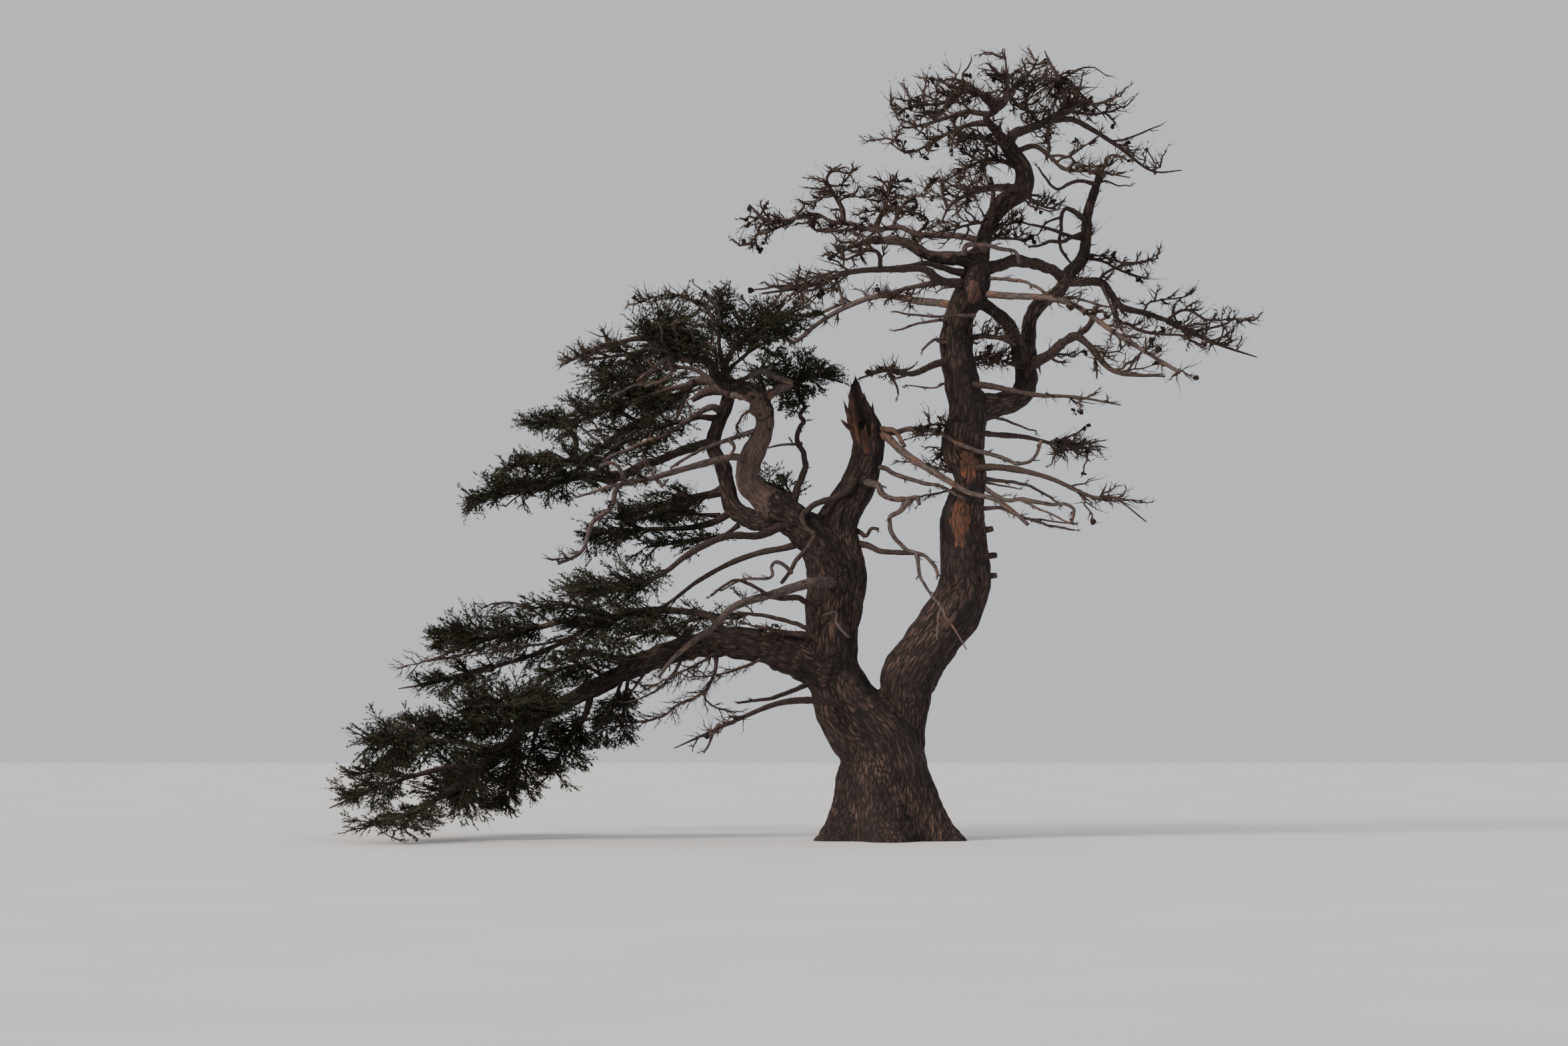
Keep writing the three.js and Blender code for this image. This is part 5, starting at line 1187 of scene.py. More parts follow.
def stripped_wood(shader):
    """Streaked wood without bark, grey or orange."""
    streaks = shader.noise(shader.grain(9.0), scale=60.0, detail=5.0)
    orange = shader.ramp(streaks, [(0.38, DARK_WOOD), (0.56, RUSTY_WOOD), (0.80, ORANGE_WOOD)])
    grey = shader.ramp(streaks, [(0.32, DARK_WOOD), (0.55, GREY_WOOD), (0.80, PALE_WOOD)])
    return shader.mix(shader.field("orange"), grey, orange)


def bark_look():
    """Long upright plates with dark fissures, bare wood where the bark is gone, and painted shade in the
    hollow.
    """
    shader = Shader("furrowed_bark", 0.92)
    grain = shader.grain(4.4)
    gaps = shader.cracks(grain, scale=15.0)
    flakes = shader.cracks(grain, scale=46.0)
    rough = shader.noise(grain, scale=30.0, detail=6.0)
    bark = plates(shader, rough, gaps)
    ragged = shader.number("ADD", shader.field("stripped"), shader.number("MULTIPLY", rough, 0.5))
    worn = shader.between(ragged, 0.80, 0.92, DARK_BARK, stripped_wood(shader))
    skin = shader.between(ragged, 0.70, 0.76, bark, worn)
    # Painted shade: the inside of the hollow in the broken top is coloured near black.
    shader.colour(shader.mix(shader.field("hollow"), skin, HOLLOW_PAINTED_SHADE))
    steps = shader.number("MINIMUM", gaps, 0.20)
    small_steps = shader.number("MINIMUM", flakes, 0.08)
    relief = shader.number("ADD", steps, small_steps)
    shader.bump(shader.number("ADD", relief, shader.number("MULTIPLY", rough, 0.20)), 0.035)
    return shader.material


def fine_bark_look():
    """Finer bark of the thin boughs."""
    shader = Shader("fine_bark", 0.9)
    rough = shader.noise(shader.grain(2.2), scale=60.0, detail=6.0)
    patches = shader.noise(shader.objects(), scale=3.0, detail=3.0)
    face = shader.ramp(rough, [(0.34, DARK_BARK), (0.56, MIDDLE_BARK), (0.80, GREY_WOOD)])
    # The warm patches are partly the wood's own tone and partly painted highlight.
    warm = shader.ramp(rough, [(0.36, DARK_BARK), (0.60, MIDDLE_BARK), (0.80, WARM_WOOD_AND_HIGHLIGHT)])
    shader.colour(shader.between(patches, 0.52, 0.68, face, warm))
    shader.bump(rough, 0.012)
    return shader.material


def dead_wood_look():
    """Grey wood without bark, streaked along its length, with warm patches that are partly painted
    highlight.
    """
    shader = Shader("grey_wood", 0.78)
    streaks = shader.noise(shader.grain(8.0), scale=75.0, detail=5.0)
    cracks = shader.cracks(shader.grain(14.0), scale=55.0)
    patches = shader.noise(shader.objects(), scale=2.6, detail=3.0)
    grey = shader.ramp(streaks, [(0.30, DARK_WOOD), (0.52, GREY_WOOD), (0.76, PALE_WOOD)])
    # Warm patches: partly the wood's own tone, partly painted highlight.
    warm = shader.ramp(streaks, [(0.30, DARK_WOOD), (0.54, WARM_WOOD_AND_HIGHLIGHT), (0.80, PALE_WOOD)])
    surface = shader.between(patches, 0.52, 0.68, grey, warm)
    shader.colour(shader.between(cracks, 0.02, 0.09, DARK_WOOD, surface))
    shader.bump(shader.number("ADD", streaks, shader.number("MINIMUM", cracks, 0.1)), 0.012)
    return shader.material


def twig_look(name, colours, roughness=0.9):
    """Thin twigs: one brown that wanders a little, with a fine rough surface."""
    shader = Shader(name, roughness)
    dark, light = colours
    wander = shader.noise(shader.objects(), scale=6.0, detail=3.0)
    shader.colour(shader.ramp(wander, [(0.36, dark), (0.66, light)]))
    shader.bump(shader.noise(shader.objects(), scale=160.0, detail=3.0), 0.003)
    return shader.material


def needle_look(name, colours):
    """Stiff needles, dull green."""
    shader = Shader(name, 0.62)
    dark, light = colours
    wander = shader.noise(shader.objects(), scale=5.0, detail=2.0)
    shader.colour(shader.ramp(wander, [(0.35, dark), (0.68, light)]))
    shader.bump(shader.noise(shader.objects(), scale=220.0, detail=2.0), 0.002)
    return shader.material


# Balls along every limb that is grown so far, which twigs keep clear of.
LIMB_BALLS = {"centre": [], "radius": []}


def grow(skin, course, radius, sides, seed):
    """Adds a limb to a skin, and its balls to those of the others."""
    skin.tube(course, radius, sides, seed)
    step = max(int(BALL_SPACING / course.along[1]), 1)
    mean = radius.mean(axis=1) if radius.ndim == 2 else radius
    LIMB_BALLS["centre"].append(course.centre[::step])
    LIMB_BALLS["radius"].append(mean[::step])


def knotty(course, radius, seed):
    """Swellings and small knots along a limb, and the collar at its root."""
    swell = uneven(course.centre + seed, KNOTS, seed, 1)
    collar = 1 + COLLAR * np.exp(-course.along / (COLLAR_RADII * radius[0] + COLLAR_LENGTH))
    return radius * swell * collar


def gathered_limbs():
    """Tubes for the trunks and thick boughs, and the course and mean radius of each."""
    skin = Skin()
    limbs = {}
    for seed, name in enumerate(TRUNKS):
        course = Course(place(TRUNKS[name]), TRUNK_SPACING)
        radius = trunk_radius(name, course)
        grow(skin, course, radius, TRUNK_SIDES, seed)
        limbs[name] = (course, radius.mean(axis=1))
    for seed, (name, (_, root, tip, taper, points)) in enumerate(BOUGHS.items()):
        if root >= THICK_LIMB:
            course = Course(place(points), TRUNK_SPACING)
            radius = knotty(course, tapered(course, root, tip, taper), seed)
            grow(skin, course, radius, BOUGH_SIDES, seed)
            limbs[name] = (course, radius)
    return skin, limbs


def fused(skin):
    """Corners, quads and neighbouring pairs of the one closed skin round overlapping tubes."""
    rough = skin.mesh("rough_skin", [])
    remesh = rough.modifiers.new("fuse", "REMESH")
    remesh.mode = "VOXEL"
    remesh.voxel_size = SKIN_GRAIN
    mesh = bpy.data.meshes.new_from_object(rough.evaluated_get(bpy.context.evaluated_depsgraph_get()))
    corners = np.zeros(len(mesh.vertices) * 3, np.float32)
    mesh.vertices.foreach_get("co", corners)
    faces = np.zeros(len(mesh.loops), np.int32)
    mesh.loops.foreach_get("vertex_index", faces)
    edges = np.zeros(len(mesh.edges) * 2, np.int32)
    mesh.edges.foreach_get("vertices", edges)
    bpy.data.objects.remove(rough)
    bpy.data.meshes.remove(mesh)
    return corners.reshape(-1, 3).astype(float), faces.reshape(-1, 4), edges.reshape(-1, 2)


def relax(corners, edges, share, rounds):
    """Each corner moves towards the middle of its neighbours, by its share."""
    count = np.bincount(edges.ravel(), minlength=len(corners))[:, None]
    for _ in range(rounds):
        total = np.zeros_like(corners)
        for axis in range(3):
            total[:, axis] = (np.bincount(edges[:, 0], corners[edges[:, 1], axis], len(corners))
                              + np.bincount(edges[:, 1], corners[edges[:, 0], axis], len(corners)))
        corners = corners + share[:, None] * (total / np.maximum(count, 1) - corners)
    return corners


def normals_of(corners, faces):
    """Outward direction at each corner of a mesh of quads."""
    first, second, third, fourth = (corners[faces[:, side]] for side in range(4))
    across = np.cross(third - first, fourth - second)
    total = np.zeros_like(corners)
    for axis in range(3):
        for side in range(4):
            total[:, axis] += np.bincount(faces[:, side], across[:, axis], len(corners))
    return unit(total)


def place_in_wood(corners, limbs):
    """Each corner's place in the grain of its nearest limb, how far off the second is, and the radius."""
    nearest = np.full(len(corners), FAR_OFF)
    second = np.full(len(corners), FAR_OFF)
    grain = np.zeros_like(corners)
    radius_here = np.zeros(len(corners))
    for seed, (course, radius) in enumerate(limbs.values()):
        centre = course.centre
        square = (corners**2).sum(1)[:, None] - 2 * corners @ centre.T + (centre**2).sum(1)[None, :]
        at = square.argmin(axis=1)
        off = corners - centre[at]
        along = (off * course.tangent[at]).sum(1)
        across = off - along[:, None] * course.tangent[at]
        past_end = np.maximum(np.abs(along) - TRUNK_SPACING, 0)
        distance = np.linalg.norm(across, axis=1) + past_end - radius[at]
        here = distance < nearest
        second = np.where(here, nearest, np.minimum(second, distance))
        nearest = np.where(here, distance, nearest)
        radius_here = np.where(here, radius[at], radius_here)
        flat = np.column_stack([(across * course.normal[at]).sum(1), (across * course.binormal[at]).sum(1),
                                course.along[at] + along + GRAIN_APART * seed])
        grain[here] = flat[here]
    return grain, second - nearest, radius_here


def wood_fields(corners):
    """Where the bark is gone, how orange the wood there is, and the painted shade in the broken top's
    hollow.
    """
    across = corners[:, 0] / CM
    up = corners[:, 2] / CM
    stripped = np.zeros(len(corners))
    orange = np.zeros(len(corners))
    ragged = uneven(corners, EDGE_UNEVEN, EDGE_SEED)
    for (middle_across, middle_up), (half_across, half_up), warmth in STRIPPED:
        away = np.hypot((across - middle_across) / half_across, (up - middle_up) / half_up) + ragged
        inside = np.clip(PATCH_FULL - PATCH_FALL * away, 0, 1) * (corners[:, 1] < PATCH_FRONT)
        stripped = np.maximum(stripped, inside)
        orange = np.where(away < WARM_REACH, np.maximum(orange, warmth), orange)
    # The hollow field marks where near-black shade is painted inside the broken top.
    line = np.interp(up, *zip(*HOLLOW_LINE))
    sunk = np.clip((up - HOLLOW_FOOT) / HOLLOW_DEEPENING, 0, 1)
    inside = np.clip(HOLLOW_EDGE - np.abs(across - line) / HOLLOW_HALF, 0, 1)
    in_reach = (corners[:, 1] < HOLLOW_FRONT) & (across < HOLLOW_RIGHT)
    return {"stripped": stripped, "orange": orange, "hollow": sunk * inside * in_reach}


def filleted(corners, faces, edges, limbs):
    """The skin with its joints filled out and its steps smoothed away."""
    _, gap, _ = place_in_wood(corners, limbs)
    fillet = np.clip(JOINT_FILLET - gap, 0, None) ** 2 / (4 * JOINT_FILLET)
    corners = corners + fillet[:, None] * normals_of(corners, faces)
    near_joint = np.clip(1 - gap / (2 * JOINT_FILLET), 0, 1)
    return relax(corners, edges, SMOOTHING + JOINT_SMOOTHING * near_joint, SMOOTHING_ROUNDS)


def furrowed(corners, faces, grain, radius, stripped):
    """The skin with furrows along its limbs and lumps, shallow on thin limbs and where the bark is gone."""
    stretched = grain * (1, 1, 1 / FURROW_STRETCH)
    creases = [depth * ridged(stretched, size, FURROW_SEED + i) for i, (depth, size) in enumerate(FURROWS)]
    furrow = sum(creases) - FURROW_LEVEL
    lumps = uneven(corners, LUMPS, LUMP_SEED)
    size = np.clip(radius / FULL_RELIEF_RADIUS, LEAST_RELIEF, 1)
    covered = 1 - BARE_SMOOTHNESS * np.clip(stripped * BARE_FADE, 0, 1)
    push = size * (FURROW_DEPTH * covered * furrow + LUMP_DEPTH * lumps)
    return corners + push[:, None] * normals_of(corners, faces)


def bark_skin():
    """The trunks and thick boughs as one skin of furrowed bark with a flat foot."""
    skin, limbs = gathered_limbs()
    corners, faces, edges = fused(skin)
    corners = filleted(corners, faces, edges, limbs)
    grain, _, radius = place_in_wood(corners, limbs)
    fields = wood_fields(corners)
    corners = furrowed(corners, faces, grain, radius, fields["stripped"])
    below = corners[:, 2] < 0
    corners[below, 2] = 0
    used = ~below[faces].all(axis=1)
    keep, faces = np.unique(faces[used], return_inverse=True)
    faces = faces.reshape(-1, 4)
    kept = {title: values[keep] for title, values in fields.items()}
    piece = add_mesh("bark_skin", corners[keep], [faces], [bark_look()], grain[keep], kept)
    belongs(piece, list(limbs))


def crooked(centre, seed):
    """Small sideways wandering of a centre line, none at its root."""
    share = np.linspace(0, 1, len(centre))[:, None]
    fine = [noise(centre * CROOKS_PER_METRE + CROOK_APART * axis, 1.0, seed + axis) for axis in range(3)]
    return (np.stack(fine, -1) - 0.5) * 2 * CROOKEDNESS * np.minimum(1, share / CROOK_ONSET)


def thin_limbs():
    """The boughs and lesser limbs too thin for the fused skin, those with bark and those without."""
    skins = {"bark": Skin(), "dead": Skin()}
    nodes = {"bark": [], "dead": []}
    for seed, (name, (look, root, tip, taper, points)) in enumerate(BOUGHS.items()):
        if root < THICK_LIMB:
            course = Course(place(points), LIMB_SPACING)
            radius = knotty(course, tapered(course, root, tip, taper), seed)
            grow(skins[look], course, radius, THIN_BOUGH_SIDES, seed)
            nodes[look].append(name)
    for seed, (look, root, tip, near, far, points) in enumerate(LESSER_LIMBS.values()):
        course = Course(lesser_line(near, far, points), LIMB_SPACING)
        course.centre += crooked(course.centre, seed)
        radius = knotty(course, tapered(course, root, tip), LESSER_SEED + seed)
        grow(skins[look], course, radius, LESSER_SIDES, LESSER_SEED + seed)
    belongs(skins["bark"].mesh("thin_boughs", [fine_bark_look()]), nodes["bark"])
    belongs(skins["dead"].mesh("dead_limbs", [dead_wood_look()]), nodes["dead"])


def as_triangles(quads):
    """Each quad as two triangles."""
    return np.concatenate([quads[:, [0, 1, 2]], quads[:, [0, 2, 3]]])


def sweep(paths, radii, sides):
    """Pointed tubes along many paths of the same number of points: corners and triangles."""
    count, points, _ = paths.shape
    tangent = unit(np.gradient(paths, axis=1))
    heading = unit(paths[:, -1] - paths[:, 0])
    helper = np.where(np.abs(heading[:, 2:]) < STEEP, (0.0, 0.0, 1.0), (1.0, 0.0, 0.0))[:, None]
    side = unit(np.cross(tangent, helper))
    top = np.cross(tangent, side)
    angle = np.linspace(0, 2 * math.pi, sides, endpoint=False)
    outward = np.cos(angle)[:, None] * side[:, :, None] + np.sin(angle)[:, None] * top[:, :, None]
    rings = points - 1
    round_path = paths[:, :rings, None] + radii[:, :rings, None, None] * outward[:, :rings]
    corners = np.concatenate([round_path.reshape(count, -1, 3), paths[:, -1:]], axis=1)
    last = (rings - 1) * sides + np.arange(sides)
    turned = (rings - 1) * sides + (np.arange(sides) + 1) % sides
    cone = np.stack([last, turned, np.full(sides, rings * sides)], -1)
    faces = np.vstack([as_triangles(ring_faces(rings, sides)), cone])
    faces = faces[None] + (np.arange(count) * corners.shape[1])[:, None, None]
    return corners.reshape(-1, 3), faces.reshape(-1, 3)


def span(paths):
    """How far the tip of each path is from its root."""
    return np.linalg.norm(paths[:, -1] - paths[:, 0], axis=1)


def along(paths, owner, share):
    """The point at a share of each owner's path, and the direction of the path there."""
    at = share * (paths.shape[1] - 1)
    before = np.minimum(at.astype(int), paths.shape[1] - 2)
    start = paths[owner, before]
    end = paths[owner, before + 1]
    return start + (end - start) * (at - before)[..., None], unit(end - start)


def sprout(rng, parents, count, reach, lean, lift, points, flat, ends=TWIG_ENDS, wane=1.0):
    """Twigs that leave each parent in pairs, shorter towards its tip, like the tines of a blade."""
    amount = len(parents)
    wander = rng.uniform(-PLACE_WANDER, PLACE_WANDER, (amount, count))
    share = np.clip(np.linspace(*ends, count)[None, :] + wander, *SHARE_LIMITS)
    root, tangent = along(parents, np.arange(amount)[:, None], share)
    level = unit(np.cross(tangent, (0.0, 0.0, 1.0)) + NUDGE)
    top = np.cross(level, tangent)
    way = np.where(np.arange(count) % 2, 1.0, -1.0)[None, :]
    turn = rng.normal(0, flat, (amount, count)) + rng.uniform(-ROW_TURN, ROW_TURN, (amount, 1))
    side = way[..., None] * np.cos(turn)[..., None] * level + np.sin(turn)[..., None] * top
    angle = lean + rng.uniform(-LEAN_WANDER, LEAN_WANDER, (amount, count))
    heading = np.cos(angle)[..., None] * tangent + np.sin(angle)[..., None] * side
    length = reach[:, None] * (LENGTH_AT_ROOT - wane * share) * rng.uniform(*LENGTHS, (amount, count))
    step = np.linspace(0, 1, points)[None, None, :, None]
    paths = root[:, :, None] + heading[:, :, None] * length[..., None, None] * step
    paths = paths + tangent[:, :, None] * (FORWARD * length)[..., None, None] * step**2
    paths[..., 2] += lift * length[..., None] * step[..., 0] ** 2
    return paths.reshape(-1, points, 3)


def bent(rng, paths, amount):
    """Random kinks at every point but the root, adding up towards the tip."""
    kink = rng.normal(0, 1, paths.shape) * amount[:, None, None]
    kink[:, 0] = 0
    return paths + np.cumsum(kink, axis=1) * KINK_SHARE


def thinning(count, points, thick, rng):
    """Radii along many twigs, from thick[0] to thick[1], some twigs stouter than others."""
    share = np.linspace(0, 1, points)[None, :]
    stout = rng.uniform(*STOUTNESS, (count, 1))
    return (thick[0] + (thick[1] - thick[0]) * share) / 2 * stout


def has_room(points, room):
    """True for each point that is above the ground, near the model's box and outside every limb."""
    centres = np.vstack(LIMB_BALLS["centre"])
    radii = np.concatenate(LIMB_BALLS["radius"])
    low = np.array(cad_box[0]) - BOX_ROOM
    high = np.array(cad_box[1]) + BOX_ROOM
    clear = (points[:, 2] > GROUND_ROOM) & (points > low).all(axis=1) & (points < high).all(axis=1)
    for start in range(0, len(points), POINTS_AT_ONCE):
        part = points[start:start + POINTS_AT_ONCE]
        square = (part**2).sum(1)[:, None] - 2 * part @ centres.T + (centres**2).sum(1)[None]
        clear[start:start + POINTS_AT_ONCE] &= (square > (radii + room)[None] ** 2).all(axis=1)
    return clear


def with_room(paths):
    """The twigs whose tips have room."""
    return paths[has_room(paths[:, -1], TWIG_ROOM)]


def bow(start, lead, end, points):
    """Curves from start to end that are drawn towards lead on the way."""
    step = np.linspace(0, 1, points)[None, :, None]
    return (1 - step) ** 2 * start[:, None] + 2 * step * (1 - step) * lead[:, None] + step**2 * end[:, None]


class Mass:
    """One mass: a stem, and branchlets that reach from it for points spread over its space."""

    def __init__(self, name, number):
        self.kind, share, self.thick, middle, half, stem = MASSES[name]
        self.rng = np.random.default_rng(MASS_SEED + number)
        self.number = number
        self.middle = place([middle])[0]
        self.half = np.array([half[0], half[2] * DEPTH_SPREAD, half[1]]) * CM
        self.course = Course(place(stem), LIMB_SPACING)
        seen = math.pi * half[0] * half[1] * CM**2
        self.count = int(GROWTH[self.kind]["branchlets"] * share * seen)

    def targets(self):
        """Points over the space by the golden angle, gathered into a few level layers."""
        index = np.arange(self.count)
        height = 1 - 2 * (index + 0.5) / self.count
        turn = index * math.pi * (3 - math.sqrt(5)) + self.rng.uniform(0, 1, self.count)
        level = np.sqrt(1 - height**2)
        out = self.rng.uniform(*OUTWARD, self.count) ** OUTWARD_POWER
        direction = np.column_stack([level * np.cos(turn), level * np.sin(turn), height])
        points = direction * out[:, None] * self.half
        wander = LAYER_WANDER * self.rng.uniform(-1, 1, self.count)
        layer = LAYER_HEIGHT * np.round(points[:, 2] / LAYER_HEIGHT + wander)
        points[:, 2] += LAYER_PULL * (layer - points[:, 2])
        return self.middle + points

    def places_on_stem(self, targets):
        """Where the branchlets leave the stem, each a little way back from the point next to its target."""
        centre = self.course.centre
        away = np.linalg.norm(targets[:, None] - centre[None], axis=2)
        away[:, :int(STEM_BARE * len(centre))] += BARE_PENALTY
        back = self.rng.uniform(*SET_BACK, self.count) * len(centre)
        return np.clip(away.argmin(axis=1) - back, STEM_FIRST * len(centre), len(centre) - 2).astype(int)

    def branchlets(self):
        """Curved twigs from the stem to the targets."""
        growth = GROWTH[self.kind]
        targets = self.targets()
        at = self.places_on_stem(targets)
        root = self.course.centre[at]
        tangent = self.course.tangent[at]
        length = np.linalg.norm(targets - root, axis=1)
        ahead = (unit(targets - root) * tangent).sum(axis=1)
        lead = root + tangent * (np.clip(LEAD + LEAD_AHEAD * ahead, LEAD_LEAST, 1) * length)[:, None]
        lead += LEAD_OVER * (targets - root)
        paths = bow(root, lead, targets, growth["points"][0])
        paths = bent(self.rng, paths, growth["kink"] * BOW_KINK * length + BOW_LEAST_KINK)
        return paths[has_room(paths[:, -1], TIP_ROOM) & has_room(paths[:, -3], BACK_ROOM)]

    def kept(self, paths):
        """The twigs whose tips lie in the mass, within its uneven edge, and have room."""
        away = np.linalg.norm((paths[:, -1] - self.middle) / self.half, axis=-1)
        edge = uneven(paths[:, -1], MASS_UNEVEN, self.number, MASS_SLACK[self.kind])
        return paths[(away <= edge) & has_room(paths[:, -1], TWIG_ROOM)]


class Sprays:
    """Twigs, needles and cone remains of one kind of spray, gathered before they become meshes."""

    def __init__(self):
        self.twigs = []
        self.needles = []
        self.cones = []

    def sweep_twigs(self, paths, thick, sides, rng):
        """Adds tubes along the paths."""
        self.twigs.append(sweep(paths, thinning(len(paths), paths.shape[1], thick, rng), sides))


def grow_stem(stems, mass):
    """The stem of a mass, with knots."""
    seed = STEM_SEED + mass.number
    radius = knotty(mass.course, tapered(mass.course, *mass.thick), seed)
    grow(stems, mass.course, radius, STEM_SIDES, seed)


def twigs_on(rng, parents, growth, order, keep):
    """The side twigs or spurs of the parents, crooked, without those that keep turns down."""
    count, fixed, share, lean, flat = growth[order]
    reach = fixed + share * span(parents)
    points = growth["points"][ORDERS.index(order)]
    twigs = sprout(rng, parents, count, reach, lean, growth["lift"], points, flat)
    return keep(bent(rng, twigs, growth["kink"] * span(twigs) + LEAST_KINK))


def furnish(sprays, rng, branchlets, kind, keep):
    """Side twigs on the branchlets and spurs on those, then their needles or the remains of cones."""
    growth = GROWTH[kind]
    sides = twigs_on(rng, branchlets, growth, "sides", keep)
    withered = sides[:0]
    if kind == "needles":
        is_withered = rng.uniform(0, 1, len(sides)) < WITHERED
        withered = sides[is_withered]
        sides = sides[~is_withered]
    spurs = twigs_on(rng, sides, growth, "spurs", keep)
    withered_spurs = twigs_on(rng, withered, growth, "spurs", keep)
    orders = (branchlets, np.vstack([sides, withered]), np.vstack([spurs, withered_spurs]))
    for order, thick, corners in zip(orders, growth["thick"], growth["corners"]):
        sprays.sweep_twigs(order, thick, corners, rng)
    if kind == "needles":
        for order, per_metre, first in zip((branchlets, sides, spurs), NEEDLES_PER_METRE, NEEDLES_FROM):
            sprays.needles.append(needles_on(rng, order, per_metre, first))
    if kind == "bare":
        for order, odds in zip((branchlets, sides), CONE_ODDS):
            sprays.cones.append(cones_on(rng, order, odds))


def needles_on(rng, paths, per_metre, first):
    """Pointed needles round each path from its first share on, and the number of each one's colour."""
    length = np.linalg.norm(np.diff(paths, axis=1), axis=2).sum(axis=1) * (1 - first)
    amount = np.maximum((length * per_metre).astype(int), FEWEST_NEEDLES)
    owner = np.repeat(np.arange(len(paths)), amount)
    root, tangent = along(paths, owner, first + (1 - first) * rng.uniform(0, 1, len(owner)))
    side = unit(np.cross(tangent, rng.normal(0, 1, tangent.shape)))
    lean = rng.uniform(*NEEDLE_LEAN, len(owner))[:, None]
    heading = np.cos(lean) * tangent + np.sin(lean) * side
    twisted = unit(np.cross(side, tangent) + NEEDLE_TWIST * rng.normal(0, 1, side.shape))
    across = unit(np.cross(heading, twisted))
    long = NEEDLE_LENGTH * rng.uniform(*NEEDLE_LENGTHS, (len(owner), 1))
    wide = NEEDLE_WIDTH * rng.uniform(*NEEDLE_WIDTHS, (len(owner), 1)) / 2
    corners = np.stack([root + across * wide, root + heading * long, root - across * wide], axis=1)
    deal = rng.choice(len(NEEDLE_SHARES), len(paths), p=NEEDLE_SHARES)[owner]
    return corners, deal


def cones_on(rng, paths, odds):
    """Where the cone remains stand: clusters of them near the tips of some of the paths."""
    chosen = paths[rng.uniform(0, 1, len(paths)) < odds]
    at = rng.integers(paths.shape[1] - CONE_POINTS, paths.shape[1], len(chosen))
    tips = np.repeat(chosen[np.arange(len(chosen)), at], CLUSTER, axis=0)
    return tips + rng.normal(0, CLUSTER_SPREAD, tips.shape)


def cone_shape():
    """Corners and faces of one cone remain: a squat bud of stacked scales."""
    angle = np.linspace(0, 2 * math.pi, CONE_SIDES, endpoint=False)
    corners = []
    for i, (radius, height) in enumerate(CONE_PROFILE):
        turned = angle + CONE_TWIST * i
        level = np.full(CONE_SIDES, height)
        corners.append(np.column_stack([radius * np.cos(turned), radius * np.sin(turned), level]))
    return np.vstack(corners), ring_faces(len(CONE_PROFILE), CONE_SIDES)


def add_cones(roots):
    """All the cone remains as one piece, each turned, scaled and made ragged."""
    rng = np.random.default_rng(CONE_SEED)
    shape, faces = cone_shape()
    count = len(roots)
    size = rng.uniform(*CONE_SIZES, (count, 1, 1))
    axis = unit(rng.normal(0, 1, (count, 3)) + (0, 0, CONE_RISE))
    side = unit(np.cross(axis, rng.normal(0, 1, (count, 3))))
    top = np.cross(axis, side)
    ragged = rng.uniform(*CONE_RAGGED, (count, len(shape), 1))
    local = shape[None] * size * ragged
    corners = (roots[:, None] + local[..., :1] * side[:, None] + local[..., 1:2] * top[:, None]
               + local[..., 2:] * axis[:, None])
    all_faces = (faces[None] + (np.arange(count) * len(shape))[:, None, None]).reshape(-1, 4)
    look = twig_look("cone_remains", CONE_REMAINS, 0.95)
    piece = add_mesh("cone_remains", corners.reshape(-1, 3), [all_faces], [look], smooth=False)
    belongs(piece)


def joined(parts):
    """Several batches of corners and faces as one."""
    corners = []
    faces = []
    count = 0
    for part_corners, part_faces in parts:
        corners.append(part_corners)
        faces.append(part_faces + count)
        count += len(part_corners)
    return np.vstack(corners), np.vstack(faces)


def add_in_pieces(name, corners, faces, looks, slot, nodes, deal=None, smooth=True):
    """A long list of triangles as several pieces of under 200,000 each."""
    amount = math.ceil(len(faces) / MOST_TRIANGLES)
    bounds = np.linspace(0, len(faces), amount + 1).astype(int)
    for i in range(amount):
        part = slice(bounds[i], bounds[i + 1])
        keep, part_faces = np.unique(faces[part], return_inverse=True)
        part_deal = None if deal is None else deal[part]
        piece = add_mesh(f"{name}_{i + 1}", corners[keep], [part_faces.reshape(-1, 3)], looks,
                         deal=part_deal, smooth=smooth)
        belongs(piece, nodes if i == 0 else ())


def limb_lines():
    """Names and way-points in metres of the boughs and lesser limbs."""
    lines = {name: place(bough[-1]) for name, bough in BOUGHS.items()}
    for name, limb in LESSER_LIMBS.items():
        lines[name] = lesser_line(*limb[-3:])
    return lines


def clothing(name):
    """Kind of spray on a limb, where it begins, branchlets to a metre and reach, or None for a bare one."""
    for kind, limbs in CLOTHED.items():
        if name in limbs:
            return kind, *limbs[name]
    thick = name in BOUGHS and BOUGHS[name][1] >= THICK_LIMB
    return None if thick or name in BARE_STUBS else PLAIN_LIMB


def clothe_limbs(sprays):
    """Branchlets with twigs along the boughs and lesser limbs, of the kind that each limb bears."""
    for seed, (name, line) in enumerate(limb_lines().items()):
        worn = clothing(name)
        if worn is None:
            continue
        kind, first, per_metre, reach = worn
        rng = np.random.default_rng(SPRAY_SEED + seed)
        course = Course(line, SPRAY_SPACING)
        count = max(int(course.along[-1] * (1 - first) * per_metre), FEWEST_BRANCHLETS)
        growth = GROWTH[kind]
        branchlets = sprout(rng, course.centre[None], count, np.array([reach * CM]), SPRAY_LEAN,
                            growth["lift"] + SPRAY_RISE, growth["points"][0], SPRAY_TURN,
                            (first, SPRAY_LAST), SPRAY_WANE)
        branchlets = with_room(bent(rng, branchlets, growth["kink"] * span(branchlets) + LEAST_KINK))
        if len(branchlets):
            furnish(sprays[kind], rng, branchlets, kind, with_room)


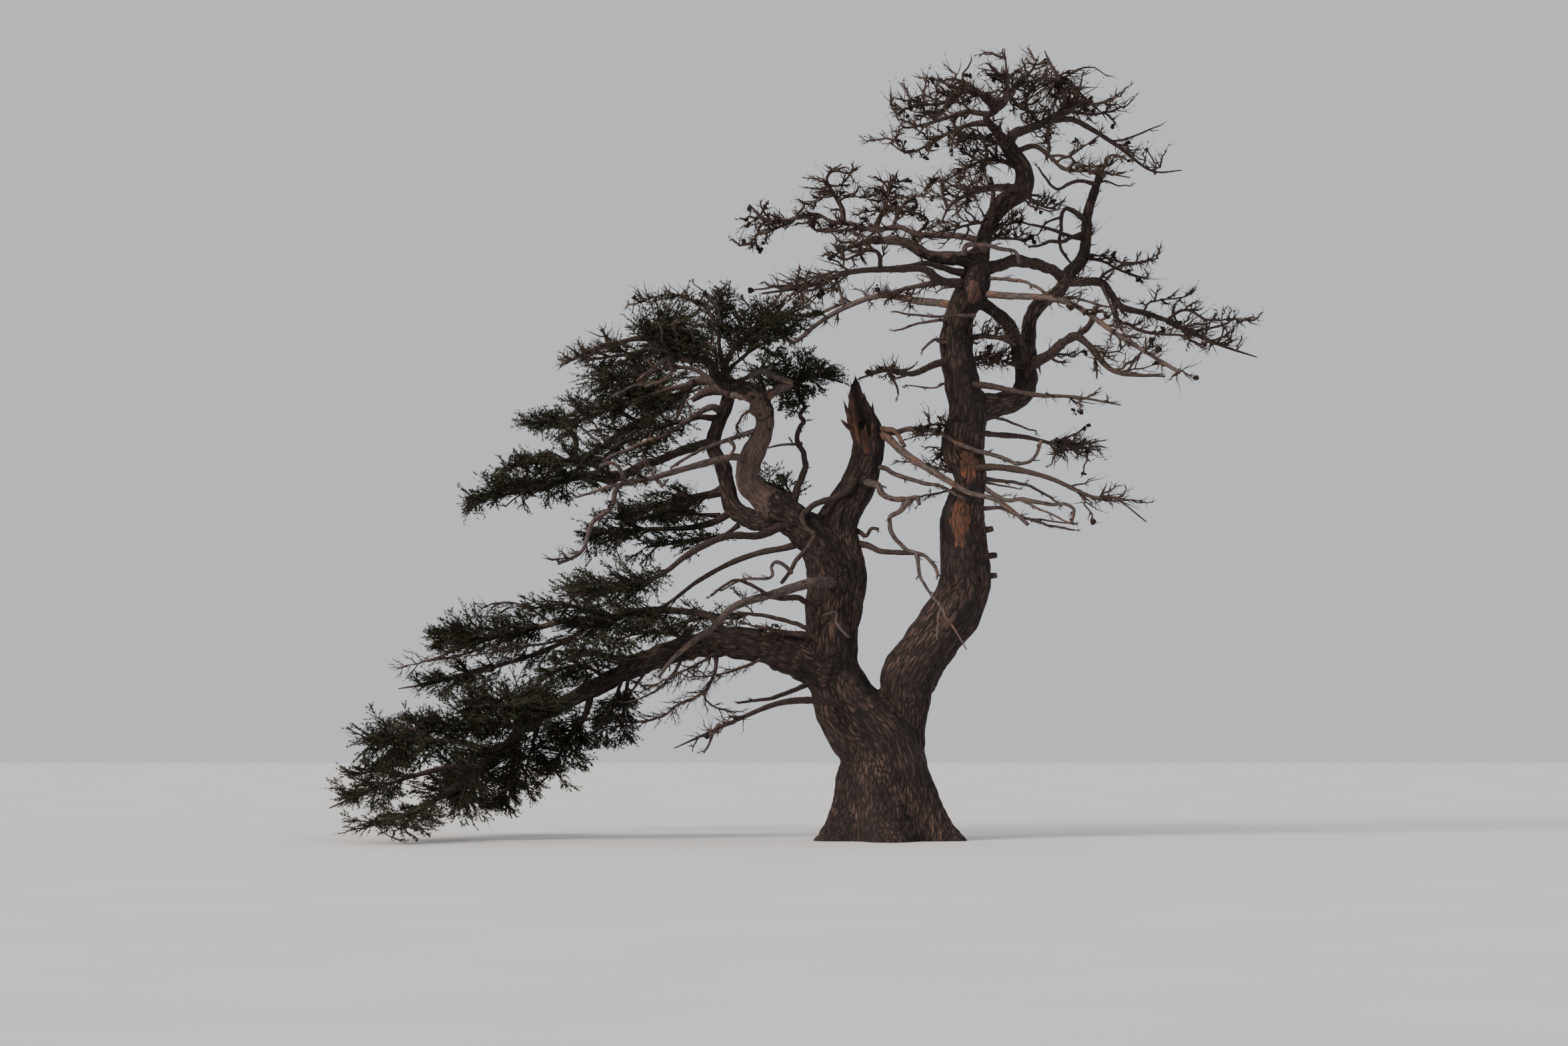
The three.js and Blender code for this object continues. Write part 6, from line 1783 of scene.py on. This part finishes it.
def add_splinters():
    """Long broken splinters round the hollow top of the west trunk."""
    rng = np.random.default_rng(SPLINTER_SEED)
    step = np.linspace(0, 1, SPLINTER_POINTS)
    ends = [place(splinter) for splinter in SPLINTERS]
    straight = np.array([foot + (tip - foot) * step[:, None] for foot, tip in ends])
    paths = bent(rng, straight, np.full(len(ends), SPLINTER_KINK))
    pointed = (1 - step) ** SPLINTER_TAPER * (SPLINTER_FOOT + (1 - SPLINTER_FOOT) * step)
    radius = SPLINTER_RADIUS * pointed + SPLINTER_TIP
    radii = radius[None, :] * rng.uniform(*SPLINTER_STOUTNESS, (len(ends), 1))
    corners, faces = sweep(paths, radii, SPLINTER_SIDES)
    look = twig_look("splintered_wood", SPLINTERED_WOOD, 0.85)
    belongs(add_mesh("snag_splinters", corners, [faces], [look], smooth=False))


def nodes_of(kind):
    """Names of the masses of one kind."""
    return [name for name in MASSES if MASSES[name][0] == kind]


def add_twigs(sprays):
    """The twigs of the bare sprays and those of the leafy ones."""
    bare_look = twig_look("bare_twigs", BARE_TWIGS)
    leafy_look = twig_look("leafy_twigs", LEAFY_TWIGS)
    bare = joined(sprays["bare"].twigs + sprays["fine"].twigs)
    leafy = joined(sprays["needles"].twigs)
    add_in_pieces("bare_twigs", *bare, [bare_look], "bare_twigs", nodes_of("bare"))
    add_in_pieces("leafy_twigs", *leafy, [leafy_look], "bare_twigs", ())


def add_needles(batches):
    """The needles, with their colours dealt out by spray."""
    corners = np.vstack([part.reshape(-1, 3) for part, _ in batches])
    deal = np.concatenate([part for _, part in batches])
    faces = np.arange(len(corners)).reshape(-1, 3)
    looks = [needle_look(name, colours) for name, colours in NEEDLES.items()]
    add_in_pieces("needles", corners, faces, looks, "needles", nodes_of("needles"), deal, smooth=False)


def grow_masses():
    """Every mass and clothed limb, with its twigs, needles and cone remains."""
    stems = Skin()
    masses = [Mass(name, number) for number, name in enumerate(MASSES)]
    for mass in masses:
        grow_stem(stems, mass)
    sprays = {kind: Sprays() for kind in GROWTH}
    for mass in masses:
        furnish(sprays[mass.kind], mass.rng, mass.branchlets(), mass.kind, mass.kept)
    clothe_limbs(sprays)
    belongs(stems.mesh("mass_stems", [fine_bark_look()]))
    add_twigs(sprays)
    add_needles(sprays["needles"].needles)
    add_cones(np.vstack(sprays["bare"].cones))


def add_camera():
    """The camera at the standpoint."""
    camera = bpy.data.objects.new("camera", bpy.data.cameras.new("camera"))
    camera.data.sensor_width = SENSOR
    camera.data.lens = LENS
    camera.data.clip_end = FARTHEST_SEEN
    camera.location = (STANDPOINT_ACROSS * CM, -STANDPOINT_DISTANCE * CM, STANDPOINT_UP * CM)
    camera.rotation_euler = (math.radians(90 + LOOK_UP), 0, 0)
    bpy.context.scene.collection.objects.link(camera)
    bpy.context.scene.camera = camera


def add_floor():
    """A plain pale floor, which isn't part of the tree."""
    corners = np.array([(-1, -1, 0), (1, -1, 0), (1, 1, 0), (-1, 1, 0)]) * FLOOR_HALF
    shader = Shader("pale_floor", 0.9)
    dark, light = PALE_FLOOR
    shade = shader.noise(shader.objects(), scale=0.4, detail=2.0)
    shader.colour(shader.ramp(shade, [(0.3, dark), (0.7, light)]))
    add_mesh("floor", corners, [np.array([[0, 1, 2, 3]])], [shader.material], smooth=False)


def add_light():
    """Soft light from the upper left, and a pale surround."""
    world = bpy.data.worlds.new("studio")
    world.use_nodes = True
    background = world.node_tree.nodes["Background"]
    background.inputs["Color"].default_value = (*SURROUND, 1)
    background.inputs["Strength"].default_value = SURROUND_STRENGTH
    bpy.context.scene.world = world
    key = bpy.data.objects.new("soft_key", bpy.data.lights.new("soft_key", "SUN"))
    key.data.energy = KEY_STRENGTH
    key.data.angle = math.radians(KEY_WIDTH)
    key.data.color = KEY_COLOUR
    key.rotation_euler = (math.radians(KEY_TILT), 0, math.radians(KEY_TURN))
    bpy.context.scene.collection.objects.link(key)


add_camera()
add_floor()
add_light()
bark_skin()
thin_limbs()
add_splinters()
grow_masses()
